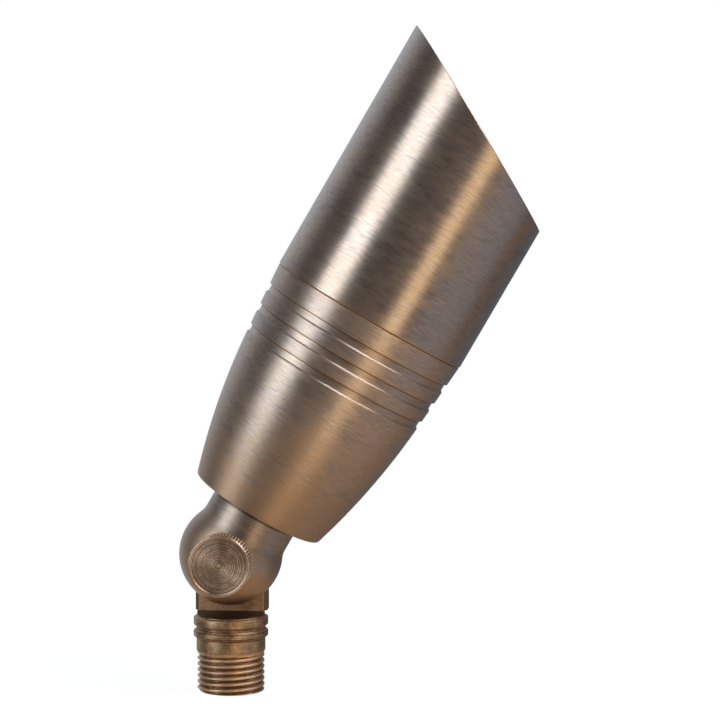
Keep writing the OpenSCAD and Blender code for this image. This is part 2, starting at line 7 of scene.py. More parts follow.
import json
import logging
import math
from collections.abc import Callable, Sequence
from dataclasses import dataclass, field
from enum import Enum
from typing import Any

import bpy
import numpy as np
from mathutils import Matrix, Vector


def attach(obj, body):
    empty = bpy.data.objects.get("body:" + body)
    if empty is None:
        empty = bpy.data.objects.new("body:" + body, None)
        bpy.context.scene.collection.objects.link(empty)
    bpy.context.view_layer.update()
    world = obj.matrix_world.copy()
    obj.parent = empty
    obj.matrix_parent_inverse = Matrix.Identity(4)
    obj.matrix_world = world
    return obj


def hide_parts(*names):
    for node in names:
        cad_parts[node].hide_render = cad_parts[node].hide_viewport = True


LOG = logging.getLogger("spotlight")
MM = 0.001
FULL_TURN = 2 * math.pi
ROUND_STEPS = 360
Colour = tuple[float, float, float]
WELD_REACH = MM / 2000
# How far a band of painted shade blends to its dark colour.
PAINTED_SHADE_SHARE = 0.85

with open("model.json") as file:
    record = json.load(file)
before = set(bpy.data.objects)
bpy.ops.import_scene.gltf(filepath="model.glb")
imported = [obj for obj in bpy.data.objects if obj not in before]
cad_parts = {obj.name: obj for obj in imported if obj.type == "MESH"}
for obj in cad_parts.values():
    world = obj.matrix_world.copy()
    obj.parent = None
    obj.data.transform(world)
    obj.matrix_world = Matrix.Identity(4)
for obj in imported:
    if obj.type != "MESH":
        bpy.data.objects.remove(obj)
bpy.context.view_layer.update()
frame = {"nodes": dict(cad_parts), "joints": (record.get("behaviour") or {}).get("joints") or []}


def joint(name: str) -> dict[str, Any]:
    """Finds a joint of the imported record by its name.

    Args:
        name: The joint's name.

    Returns:
        The joint as the record states it.
    """
    return next(j for j in frame["joints"] if j["name"] == name)


PIVOT = Vector(joint("head_tilt")["pos_m"])
HEAD_AXIS = Vector(joint("guard_turn")["axis"]).normalized()
HEAD_LEAN = math.atan2(HEAD_AXIS.x, HEAD_AXIS.z)


class Place(Enum):
    """The axis that a piece is turned round, and where that axis lies."""

    STEM = "stem"
    HEAD = "head"
    SCREW = "screw"

    @property
    def angles(self) -> tuple[float, float, float]:
        """The turn from upright to this axis, as Euler angles."""
        return {
            Place.STEM: (0.0, 0.0, 0.0),
            Place.HEAD: (0.0, HEAD_LEAN, 0.0),
            Place.SCREW: (math.pi / 2, 0.0, 0.0),
        }[self]

    @property
    def origin(self) -> Vector:
        """The point from which heights along this axis are counted."""
        return Vector((0, 0, 0)) if self is Place.STEM else PIVOT

    @property
    def matrix(self) -> Matrix:
        """The move from the drawing board to the finished place."""
        turn = Matrix.Rotation(self.angles[0], 4, "X") @ Matrix.Rotation(self.angles[1], 4, "Y")
        return Matrix.Translation(self.origin) @ turn


@dataclass(frozen=True)
class Corner:
    """A corner of a turned outline: its radius, its height, and how far it is rounded."""

    r: float
    z: float
    soft: float = 0.0


def rounded(corners: Sequence[Corner], closed: bool = True, cuts: int = 4) -> list[tuple[float, float]]:
    """Turns an outline's corners into points, with an arc at each soft corner.

    Args:
        corners: The corners in order.
        closed: Whether the last corner joins the first.
        cuts: How many chords stand for one arc.

    Returns:
        The outline's points, and its first point once more if it is closed.
    """
    points: list[tuple[float, float]] = []
    count = len(corners)
    for i, corner in enumerate(corners):
        here = Vector((corner.r, corner.z))
        ends = not closed and i in (0, count - 1)
        if corner.soft <= 0 or ends:
            points.append((corner.r, corner.z))
            continue
        before = Vector((corners[i - 1].r, corners[i - 1].z)) - here
        after = Vector((corners[(i + 1) % count].r, corners[(i + 1) % count].z)) - here
        half = before.angle(after) / 2
        reach = min(corner.soft / math.tan(half), 0.49 * before.length, 0.49 * after.length)
        radius = reach * math.tan(half)
        middle = here + (before.normalized() + after.normalized()).normalized() * radius / math.sin(half)
        start = here + before.normalized() * reach - middle
        sweep = start.angle_signed(here + after.normalized() * reach - middle)
        for k in range(cuts + 1):
            spoke = start.copy()
            spoke.rotate(Matrix.Rotation(-sweep * k / cuts, 2))
            points.append(tuple(middle + spoke))
    if closed:
        points.append(points[0])
    return points


class Bench:
    """The modelling moves that the pieces are made with."""

    RADIAL_SHARE = 0.25

    @staticmethod
    def clear() -> None:
        """Leaves edit mode and deselects everything."""
        if bpy.context.mode != "OBJECT":
            bpy.ops.object.mode_set(mode="OBJECT")
        bpy.ops.object.select_all(action="DESELECT")

    @staticmethod
    def pick(piece: bpy.types.Object) -> None:
        """Makes a piece the only selected and active one."""
        Bench.clear()
        piece.select_set(True)
        bpy.context.view_layer.objects.active = piece

    @staticmethod
    def edit(piece: bpy.types.Object) -> None:
        """Opens a piece in edit mode with all of it selected."""
        Bench.pick(piece)
        bpy.ops.object.mode_set(mode="EDIT")
        bpy.ops.mesh.select_all(action="SELECT")

    @staticmethod
    def select(piece: bpy.types.Object, kind: str, test: Callable[[Any], bool]) -> int:
        """Selects parts of a piece's mesh by their place or normal, and opens it in edit mode.

        Args:
            piece: The piece.
            kind: "VERT", "EDGE" or "FACE".
            test: Says of each part whether it is wanted.

        Returns:
            How many parts are selected.
        """
        Bench.edit(piece)
        bpy.ops.mesh.select_mode(type=kind)
        bpy.ops.mesh.select_all(action="DESELECT")
        bpy.ops.object.mode_set(mode="OBJECT")
        mesh = piece.data
        parts = {"VERT": mesh.vertices, "EDGE": mesh.edges, "FACE": mesh.polygons}[kind]
        wanted = [test(part) for part in parts]
        parts.foreach_set("select", wanted)
        bpy.ops.object.mode_set(mode="EDIT")
        return sum(wanted)

    @staticmethod
    def line(name: str, points: Sequence[tuple[float, float]]) -> bpy.types.Object:
        """Draws a chain of points in the upright plane y = 0.

        Args:
            name: The new piece's name.
            points: Radius and height of each point, in millimetres.

        Returns:
            The new piece, in edit mode.
        """
        Bench.clear()
        bpy.ops.mesh.primitive_plane_add(size=MM)
        piece = bpy.context.object
        piece.name = name
        bpy.ops.object.mode_set(mode="EDIT")
        bpy.ops.mesh.select_mode(type="VERT")
        bpy.ops.mesh.select_all(action="SELECT")
        bpy.ops.mesh.merge(type="CENTER")
        bpy.ops.transform.translate(value=(points[0][0] * MM, 0, points[0][1] * MM))
        for (r0, z0), (r1, z1) in zip(points, points[1:]):
            step = ((r1 - r0) * MM, 0, (z1 - z0) * MM)
            bpy.ops.mesh.extrude_vertices_move(TRANSFORM_OT_translate={"value": step})
        return piece

    @staticmethod
    def weld(piece: bpy.types.Object) -> None:
        """Merges doubled points and turns every face outwards."""
        Bench.edit(piece)
        bpy.ops.mesh.remove_doubles(threshold=WELD_REACH)
        bpy.ops.mesh.normals_make_consistent(inside=False)
        Bench.clear()

    @staticmethod
    def turned(
        name: str, points: Sequence[tuple[float, float]], steps: int = ROUND_STEPS
    ) -> bpy.types.Object:
        """Turns an outline round the upright axis, as on a lathe.

        Args:
            name: The new piece's name.
            points: The outline's points, in millimetres.
            steps: How many steps make the full turn.

        Returns:
            The new piece, closed and with its faces outwards.
        """
        piece = Bench.line(name, points)
        bpy.ops.mesh.select_all(action="SELECT")
        bpy.ops.mesh.spin(steps=steps, angle=FULL_TURN, center=(0, 0, 0), axis=(0, 0, 1))
        Bench.weld(piece)
        return piece

    @staticmethod
    def apply(piece: bpy.types.Object, kind: str, **settings: Any) -> None:
        """Adds a modifier to a piece and applies it.

        Args:
            piece: The piece.
            kind: The modifier's type.
            **settings: The modifier's settings.
        """
        Bench.pick(piece)
        modifier = piece.modifiers.new(kind.title(), kind)
        for key, value in settings.items():
            setattr(modifier, key, value)
        bpy.ops.object.modifier_apply(modifier=modifier.name)

    @staticmethod
    def combine(piece: bpy.types.Object, tool: bpy.types.Object, operation: str) -> None:
        """Adds, cuts or intersects a piece with a tool, and throws the tool away.

        Args:
            piece: The piece that is kept.
            tool: The other solid.
            operation: "UNION", "DIFFERENCE" or "INTERSECT".
        """
        Bench.apply(piece, "BOOLEAN", object=tool, operation=operation, solver="EXACT")
        bpy.data.objects.remove(tool)

    @staticmethod
    def cut(piece: bpy.types.Object, at: Vector, normal: Vector, fill: bool = True) -> None:
        """Cuts away what lies beyond a plane.

        Args:
            piece: The piece.
            at: A point of the plane, in millimetres.
            normal: The side that is cut away.
            fill: Whether the cut is closed with a flat face.
        """
        Bench.edit(piece)
        bpy.ops.mesh.bisect(plane_co=at * MM, plane_no=normal, use_fill=fill, clear_outer=True)
        Bench.clear()

    @staticmethod
    def block(name: str, low: Sequence[float], high: Sequence[float]) -> bpy.types.Object:
        """Adds a block between two corners, as a start or a cutter.

        Args:
            name: The new piece's name.
            low: The lowest corner, in millimetres.
            high: The highest corner, in millimetres.

        Returns:
            The block, with its place in its mesh.
        """
        Bench.clear()
        centre = [(a + b) / 2 * MM for a, b in zip(low, high)]
        bpy.ops.mesh.primitive_cube_add(size=1, location=centre)
        piece = bpy.context.object
        piece.name = name
        piece.scale = [(b - a) * MM for a, b in zip(low, high)]
        bpy.ops.object.transform_apply(location=True, rotation=True, scale=True)
        return piece

    @staticmethod
    def settle(piece: bpy.types.Object, place: Place, sharp: float = 30.0) -> bpy.types.Object:
        """Takes a finished piece to its place, and smooths its shading up to its sharp edges.

        Args:
            piece: The piece, drawn upright.
            place: The axis that it was turned round.
            sharp: The least angle of an edge that stays sharp, in degrees.

        Returns:
            The same piece, with its place in its mesh.
        """
        Bench.pick(piece)
        Bench.along_uv(piece)
        piece.matrix_world = place.matrix
        bpy.ops.object.transform_apply(location=True, rotation=True, scale=True)
        bpy.ops.object.shade_smooth_by_angle(angle=math.radians(sharp))
        Bench.apply(piece, "WEIGHTED_NORMAL", keep_sharp=True)
        return piece

    @staticmethod
    def along_uv(piece: bpy.types.Object) -> None:
        """Lays a UV map on an upright turned piece: U runs along its axis, and V round it.

        The highlight of a brushed surface stretches along U, across the brush lines.

        Args:
            piece: The piece, before it goes to its place.
        """
        mesh = piece.data
        points = np.empty(len(mesh.vertices) * 3)
        mesh.vertices.foreach_get("co", points)
        points = points.reshape(-1, 3)
        corners = np.empty(len(mesh.loops), int)
        mesh.loops.foreach_get("vertex_index", corners)
        starts = np.empty(len(mesh.polygons), int)
        mesh.polygons.foreach_get("loop_start", starts)
        totals = np.empty(len(mesh.polygons), int)
        mesh.polygons.foreach_get("loop_total", totals)
        owner = np.repeat(np.arange(len(starts)), totals)
        at = points[corners]
        centre = np.add.reduceat(at, starts)[:, :2] / totals[:, None]
        middle = np.arctan2(centre[:, 1], centre[:, 0])[owner]
        turn = np.arctan2(at[:, 1], at[:, 0]) - middle
        turn = (turn + math.pi) % FULL_TURN - math.pi + middle
        reach = Bench.RADIAL_SHARE * np.hypot(at[:, 0], at[:, 1]) + at[:, 2]
        layer = mesh.uv_layers.new(name="along")
        layer.data.foreach_set("uv", np.stack([reach / (10 * MM), turn], 1).ravel())


class Graph:
    """The node tree of one material, or of the world."""

    def __init__(self, owner: bpy.types.Material | bpy.types.World) -> None:
        """Starts with an empty tree.

        Args:
            owner: What the tree belongs to.
        """
        owner.use_nodes = True
        self.owner = owner
        self.tree = owner.node_tree
        self.tree.nodes.clear()

    @classmethod
    def of_material(cls, name: str) -> "Graph":
        """Starts a new material.

        Args:
            name: The material's name.

        Returns:
            The material's empty graph.
        """
        return cls(bpy.data.materials.new(name))

    def add(
        self, kind: str, settings: dict[str, Any] | None = None, sockets: dict[str | int, Any] | None = None
    ) -> bpy.types.Node:
        """Adds a node.

        Args:
            kind: The node's type.
            settings: Its settings, such as an operation, or a ramp's stops.
            sockets: The value or the link of each input, by name or number.

        Returns:
            The new node.
        """
        node = self.tree.nodes.new(kind)
        for key, value in (settings or {}).items():
            if key == "stops":
                self._set_stops(node.color_ramp, value)
            else:
                setattr(node, key, value)
        for key, value in (sockets or {}).items():
            self.feed(node.inputs[key], value)
        return node

    @staticmethod
    def _set_stops(ramp: bpy.types.ColorRamp, stops: Sequence[tuple[float, Sequence[float]]]) -> None:
        """Gives a ramp its stops, each a position and a colour."""
        while len(ramp.elements) > 1:
            ramp.elements.remove(ramp.elements[-1])
        for i, (position, colour) in enumerate(stops):
            stop = ramp.elements[0] if i == 0 else ramp.elements.new(position)
            stop.position = position
            stop.color = (*colour, 1)

    def feed(self, socket: bpy.types.NodeSocket, value: Any) -> None:
        """Gives an input its value, or a link.

        Args:
            socket: The input.
            value: A number, a tuple, a Value or another node's output.
        """
        if isinstance(value, Value):
            value = value.socket
        if isinstance(value, bpy.types.NodeSocket):
            self.tree.links.new(value, socket)
        elif socket.type == "RGBA" and len(value) == 3:
            socket.default_value = (*value, 1)
        else:
            socket.default_value = value

    def math(self, operation: str, *operands: Any) -> "Value":
        """Adds a Math node and wraps its result."""
        node = self.add("ShaderNodeMath", {"operation": operation}, dict(enumerate(operands)))
        return Value(self, node.outputs[0])

    def blend(self, share: Any, first: Any, second: Any) -> bpy.types.NodeSocket:
        """Mixes two colours.

        Args:
            share: How much of the second colour shows.
            first: A colour or an output.
            second: A colour or an output.

        Returns:
            The mixed colour's output.
        """
        node = self.add("ShaderNodeMix", {"data_type": "RGBA", "clamp_factor": True})
        self.feed(node.inputs[0], share)
        self.feed(node.inputs[6], first)
        self.feed(node.inputs[7], second)
        return node.outputs[2]

    def coordinates(self, place: Place) -> "Coordinates":
        """The surface's coordinates on the drawing board of one axis, in millimetres."""
        source = self.add("ShaderNodeTexCoord")
        moved = self.add(
            "ShaderNodeMapping",
            {"vector_type": "TEXTURE"},
            {"Vector": source.outputs["Object"], "Location": place.origin, "Rotation": place.angles,
             "Scale": (MM, MM, MM)},
        )
        parts = self.add("ShaderNodeSeparateXYZ", sockets={0: moved.outputs[0]})
        return Coordinates(self, *(Value(self, parts.outputs[i]) for i in range(3)))

    def principled(self, **inputs: Any) -> bpy.types.Node:
        """Adds the surface shader and the output.

        Args:
            **inputs: The shader's inputs, with underscores for spaces.

        Returns:
            The surface shader's node.
        """
        named = {key.replace("_", " "): value for key, value in inputs.items()}
        shader = self.add("ShaderNodeBsdfPrincipled", sockets=named)
        self.add("ShaderNodeOutputMaterial", sockets={0: shader.outputs[0]})
        return shader

    def along(self) -> bpy.types.NodeSocket:
        """The direction across the brush lines, from the piece's own UV map."""
        return self.add("ShaderNodeTangent", {"direction_type": "UV_MAP", "uv_map": "along"}).outputs[0]

    def bump(self, height: "Value", depth: float) -> bpy.types.NodeSocket:
        """Turns a height into a normal.

        Args:
            height: The height, from 0 to 1.
            depth: How many millimetres a height of 1 stands for.

        Returns:
            The normal's output.
        """
        node = self.add("ShaderNodeBump", sockets={"Strength": 1.0, "Distance": depth * MM, "Height": height})
        return node.outputs[0]


class Value:
    """A number that varies over a surface, with Python's arithmetic."""

    def __init__(self, graph: Graph, socket: bpy.types.NodeSocket) -> None:
        """Wraps a node's output."""
        self.graph = graph
        self.socket = socket

    def __add__(self, other: Any) -> "Value":
        """Adds."""
        return self.graph.math("ADD", self, other)

    def __radd__(self, other: Any) -> "Value":
        """Adds, reflected."""
        return self.graph.math("ADD", other, self)

    def __sub__(self, other: Any) -> "Value":
        """Subtracts."""
        return self.graph.math("SUBTRACT", self, other)

    def __rsub__(self, other: Any) -> "Value":
        """Subtracts, reflected."""
        return self.graph.math("SUBTRACT", other, self)

    def __mul__(self, other: Any) -> "Value":
        """Multiplies."""
        return self.graph.math("MULTIPLY", self, other)

    def __rmul__(self, other: Any) -> "Value":
        """Multiplies, reflected."""
        return self.graph.math("MULTIPLY", other, self)

    def __truediv__(self, other: Any) -> "Value":
        """Divides."""
        return self.graph.math("DIVIDE", self, other)

    def __abs__(self) -> "Value":
        """The distance from zero."""
        return self.graph.math("ABSOLUTE", self)

    def at_least(self, other: Any) -> "Value":
        """The larger of two."""
        return self.graph.math("MAXIMUM", self, other)

    def eased(self, low: float, high: float) -> "Value":
        """Rises smoothly from 0 at low to 1 at high; low may be the larger.

        Args:
            low: Where the result is 0.
            high: Where the result is 1.

        Returns:
            The eased value.
        """
        node = self.graph.add(
            "ShaderNodeMapRange",
            {"interpolation_type": "SMOOTHSTEP"},
            {"Value": self, "From Min": low, "From Max": high},
        )
        return Value(self.graph, node.outputs[0])


@dataclass
class Coordinates:
    """Where a point of the surface lies on the drawing board, in millimetres."""

    graph: Graph
    x: Value
    y: Value
    z: Value

    @property
    def radius(self) -> Value:
        """The distance from the axis."""
        flat = self.graph.add("ShaderNodeCombineXYZ", sockets={0: self.x, 1: self.y})
        size = self.graph.add("ShaderNodeVectorMath", {"operation": "LENGTH"}, {0: flat.outputs[0]})
        return Value(self.graph, size.outputs["Value"])

    def noise(
        self, across: float, along: float, detail: float = 2.0, seed: float = 0.0, harsh: float = 0.6
    ) -> Value:
        """Smooth noise, stretched round the axis or along it.

        Args:
            across: The size of a patch square to the axis, in millimetres.
            along: The size of a patch along the axis, in millimetres.
            detail: How many finer octaves it has.
            seed: Sets one noise apart from another.
            harsh: How strong the finer octaves are.

        Returns:
            The noise, from 0 to 1.
        """
        spot = self.graph.add(
            "ShaderNodeCombineXYZ",
            sockets={0: self.x / across + seed, 1: self.y / across, 2: self.z / along},
        )
        node = self.graph.add(
            "ShaderNodeTexNoise",
            {"noise_dimensions": "3D"},
            {"Vector": spot.outputs[0], "Scale": 1.0, "Detail": detail, "Roughness": harsh},
        )
        return Value(self.graph, node.outputs[0])

    def rings(self, pitch: float, detail: float = 2.0) -> Value:
        """Noise that changes with the radius alone, like the marks of a facing cut."""
        node = self.graph.add(
            "ShaderNodeTexNoise",
            {"noise_dimensions": "1D"},
            {"W": self.radius / pitch, "Scale": 1.0, "Detail": detail, "Roughness": 0.6},
        )
        return Value(self.graph, node.outputs[0])

    def band(self, height: float, width: float, core: float = 0.5) -> Value:
        """A soft band round the axis, 1 in its middle and 0 beyond its width.

        Args:
            height: The height of its middle, in millimetres.
            width: How far it reaches to either side, in millimetres.
            core: The share of its width that is full.

        Returns:
            The mask.
        """
        return abs(self.z - height).eased(width, width * core)

    def nicks(self, spacing: float, size: float) -> Value:
        """Sparse small dents, 1 inside a dent and 0 elsewhere.

        Args:
            spacing: The mean distance from nick to nick, in millimetres.
            size: The width of a nick, in millimetres.

        Returns:
            The mask.
        """
        spot = self.graph.add("ShaderNodeCombineXYZ", sockets={0: self.x, 1: self.y, 2: self.z})
        node = self.graph.add(
            "ShaderNodeTexVoronoi", {"voronoi_dimensions": "3D"},
            {"Vector": spot.outputs[0], "Scale": 1 / spacing},
        )
        reach = size / spacing / 2
        return Value(self.graph, node.outputs["Distance"]).eased(reach, reach / 2)


@dataclass(frozen=True)
class Finish:
    """What every finish shares: its name, and the way from its nodes to a material."""

    name: str

    def paint(self, graph: Graph) -> None:
        """Draws the finish's nodes.

        Args:
            graph: The material's empty graph.
        """
        raise NotImplementedError

    def material(self) -> bpy.types.Material:
        """Builds the finish.

        Returns:
            The material.
        """
        graph = Graph.of_material(self.name)
        self.paint(graph)
        return graph.owner


@dataclass(frozen=True)
class AgedBrass(Finish):
    """Brass with a brown patina, brushed round its axis on the lathe."""

    place: Place
    shade: Colour = (0.33, 0.255, 0.22)
    bright: Colour = (0.60, 0.475, 0.405)
    tan: Colour = (0.50, 0.33, 0.20)
    worn: Colour = (0.72, 0.44, 0.20)
    # The colour of the bands of painted shade.
    dirt_and_painted_shade: Colour = (0.06, 0.04, 0.03)
    roughness: float = 0.40
    stretch: float = 0.8
    line: float = 0.26
    stroke: float = 3.6
    contrast: float = 2.2
    line_depth: float = 0.014
    gild: float = 1.0
    cloud_size: float = 16.0
    nick_spacing: float = 9.0
    nick_size: float = 0.5
    nick_colour: Colour = (0.75, 0.66, 0.56)
    film: float = 0.5
    film_roughness: float = 0.3
    dull_from: float = 1000.0
    dull_to: float = -1000.0
    dull_gain: float = 0.0
    tan_gain: float = 0.0
    worn_rings: tuple[tuple[float, float], ...] = ()
    # Bands of painted shade: the height and reach of each.
    painted_shade_rings: tuple[tuple[float, float], ...] = ()

    def paint(self, graph: Graph) -> None:
        """Draws the finish's nodes."""
        at = graph.coordinates(self.place)
        fine = at.noise(self.stroke, self.line, 4.0, harsh=0.75)
        broad = at.noise(self.stroke * 3, self.line * 8, 2.0, seed=31.0)
        cloud = at.noise(self.cloud_size, self.cloud_size, 3.0, seed=57.0)
        low = at.z.eased(self.dull_from, self.dull_to)
        tint = at.noise(self.stroke * 0.6, self.line * 1.3, 3.0, seed=83.0)
        tone = 0.5 + (fine - 0.5) * self.contrast + (broad - 0.5) * 0.6 + (cloud - 0.5) * 0.5
        colour = graph.blend(tone.eased(0.0, 1.0), self.shade, self.bright)
        patches = (broad - 0.5) * 1.0 + (cloud - 0.5) * 1.4
        stain = patches + (tint - 0.5) * self.gild + 0.08 + low * self.tan_gain
        colour = graph.blend(stain, colour, self.tan)
        # Painted shade: dark bands round the axis, such as on the knuckle's neck under the housing's rim and
        # under each groove's top edge.
        for height, width in self.painted_shade_rings:
            colour = graph.blend(at.band(height, width) * PAINTED_SHADE_SHARE, colour, self.dirt_and_painted_shade)
        for height, width in self.worn_rings:
            colour = graph.blend(at.band(height, width, 0.4) * (0.4 + cloud), colour, self.worn)
        nick = at.nicks(self.nick_spacing, self.nick_size)
        colour = graph.blend(nick * 0.5, colour, self.nick_colour)
        rough = self.roughness + low * self.dull_gain + (cloud - 0.5) * 0.16 + (broad - 0.5) * 0.12
        relief = graph.bump(fine + broad * 0.3 - nick * 3.0, self.line_depth)
        graph.principled(
            Base_Color=colour, Metallic=1.0, Roughness=rough, Anisotropic=self.stretch,
            Normal=relief, Tangent=graph.along(), Coat_Weight=self.film, Coat_Roughness=self.film_roughness,
        )


@dataclass(frozen=True)
class SandyBrass(Finish):
    """Browned brass with a sandy grain: dark in its thread's valleys, and worn bright on the crests."""

    shade: Colour = (0.24, 0.147, 0.09)
    bright: Colour = (0.70, 0.445, 0.265)
    worn: Colour = (0.84, 0.60, 0.42)
    # The dark colour: patina in the thread's valleys, and painted shade on the ledge, along the ring edges
    # and on the side chamfers.
    dirt_and_painted_shade: Colour = (0.07, 0.05, 0.042)
    soil: float = 0.45
    roughness: float = 0.44
    stretch: float = 0.3
    grain: float = 0.35
    grain_depth: float = 0.02
    line: float = 0.2
    stroke: float = 5.0
    cloud_size: float = 3.5
    valley: tuple[float, float] | None = None
    crest: tuple[float, float] | None = None
    crest_top: float = 0.0
    # Bands of painted shade: the height and reach of each.
    painted_shade_rings: tuple[tuple[float, float], ...] = ()
    # Beyond this distance from the middle, the sides get painted shade.
    painted_shade_sides: float = 1000.0

    def paint(self, graph: Graph) -> None:
        """Draws the finish's nodes."""
        at = graph.coordinates(Place.STEM)
        grain = at.noise(self.grain, self.grain, 3.0, harsh=0.7)
        lines = at.noise(self.stroke, self.line, 2.0, seed=23.0)
        cloud = at.noise(self.cloud_size, self.cloud_size, 2.0, seed=11.0)
        tone = (0.5 + (grain - 0.5) * 1.8 + (lines - 0.5) * 1.0 + (cloud - 0.5) * 1.0).eased(0.0, 1.0)
        colour = graph.blend(tone, self.shade, self.bright)
        if self.crest:
            crest = at.radius.eased(*self.crest) * at.z.eased(self.crest_top, self.crest_top - 0.5)
            colour = graph.blend(crest * (0.3 + cloud), colour, self.worn)
        if self.valley:
            colour = graph.blend(at.radius.eased(*self.valley) * self.soil, colour, self.dirt_and_painted_shade)
        # Painted shade: dark bands round the stem, on the ledge under the shank and along the ring edges.
        for height, width in self.painted_shade_rings:
            colour = graph.blend(at.band(height, width) * PAINTED_SHADE_SHARE, colour, self.dirt_and_painted_shade)
        # Painted shade on the sides beyond a given distance from the middle, such as the shank's side
        # chamfers.
        sides = abs(at.x).eased(self.painted_shade_sides, self.painted_shade_sides + 0.3)
        colour = graph.blend(sides * 0.75, colour, self.dirt_and_painted_shade)
        graph.principled(
            Base_Color=colour, Metallic=1.0, Roughness=self.roughness + (grain - 0.5) * 0.2,
            Anisotropic=self.stretch, Tangent=graph.along(),
            Normal=graph.bump(grain + lines, self.grain_depth),
        )


@dataclass(frozen=True)
class FacedBrass(Finish):
    """Brass with the ring marks of a facing cut, round the screw's axis."""

    shade: Colour = (0.20, 0.138, 0.108)
    bright: Colour = (0.82, 0.60, 0.46)
    # The dark colour in the knurls' valleys.
    dirt_and_painted_shade: Colour = (0.05, 0.038, 0.03)
    valley: tuple[float, float] = (9.12, 8.98)
    rim: tuple[float, float] = (8.3, 8.5)
    face: float = 29.3
    roughness: float = 0.44
    stretch: float = 0.7
    ring_pitch: float = 0.30
    cloud_size: float = 2.2
    scuff_size: float = 0.5
    depth: float = 0.035

    def paint(self, graph: Graph) -> None:
        """Draws the finish's nodes."""
        at = graph.coordinates(Place.SCREW)
        rings = at.rings(self.ring_pitch, 3.0)
        cloud = at.noise(self.cloud_size, self.cloud_size, 4.0, seed=5.0, harsh=0.7)
        scuff = at.noise(self.scuff_size, self.scuff_size, 2.0, seed=19.0)
        tone = (0.5 + (rings - 0.5) * 3.6 + (cloud - 0.5) * 1.0 + (scuff - 0.5) * 0.9).eased(0.0, 1.0)
        colour = graph.blend(tone, self.shade, self.bright)
        # Painted highlight: the face's outer rim is blended towards the bright colour.
        rim = at.radius.eased(self.rim[0], self.rim[1]) * at.z.eased(self.face - 0.3, self.face - 0.1)
        colour = graph.blend(rim * 0.6, colour, self.bright)
        # The knurls' valleys are darkened.
        knurl = at.radius.eased(*self.valley) * at.z.eased(self.face - 0.3, self.face - 0.5)
        colour = graph.blend(knurl * 0.9, colour, self.dirt_and_painted_shade)
        graph.principled(
            Base_Color=colour, Metallic=1.0, Roughness=self.roughness + (cloud - 0.5) * 0.25,
            Anisotropic=self.stretch, Tangent=graph.along(),
            Normal=graph.bump(rings + cloud * 0.5, self.depth),
        )


@dataclass(frozen=True)
class Plain(Finish):
    """A quiet finish for an inner piece: one colour with a little grain."""

    colour: Colour
    metallic: float = 0.0
    roughness: float = 0.5
    grain: float = 0.6
    contrast: float = 0.25
    depth: float = 0.01

    def paint(self, graph: Graph) -> None:
        """Draws the finish's nodes."""
        at = graph.coordinates(Place.HEAD)
        grain = at.noise(self.grain, self.grain, 3.0)
        cloud = at.noise(6.0, 6.0, 2.0, seed=3.0)
        darker = tuple(c * (1 - self.contrast) for c in self.colour)
        colour = graph.blend((grain * 0.6 + cloud * 0.4).eased(0.3, 0.7), darker, self.colour)
        graph.principled(
            Base_Color=colour, Metallic=self.metallic, Roughness=self.roughness + (cloud - 0.5) * 0.15,
            Normal=graph.bump(grain, self.depth),
        )


@dataclass(frozen=True)
class Clear(Finish):
    """Clear glass with a faint tint."""

    colour: Colour = (0.97, 1.0, 0.99)

    def paint(self, graph: Graph) -> None:
        """Draws the finish's nodes."""
        at = graph.coordinates(Place.HEAD)
        dust = at.noise(4.0, 4.0, 3.0)
        graph.principled(
            Base_Color=self.colour, Roughness=0.02 + dust * 0.04, IOR=1.5, Transmission_Weight=1.0,
        )


@dataclass
class Lathework:
    """What every dressed sub-assembly shares."""

    body: str
    slot: str

    def dress(self, piece: bpy.types.Object, material: bpy.types.Material, *nodes: str) -> None:
        """Gives a piece its finish, its body and the solids that it stands for.

        Args:
            piece: The finished piece.
            material: Its finish.
            *nodes: The solids that it stands for.
        """
        piece.data.materials.clear()
        piece.data.materials.append(material)
        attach(piece, self.body)
        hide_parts(*nodes)
        LOG.info("%s: %d faces, rides on %s", piece.name, len(piece.data.polygons), self.body)


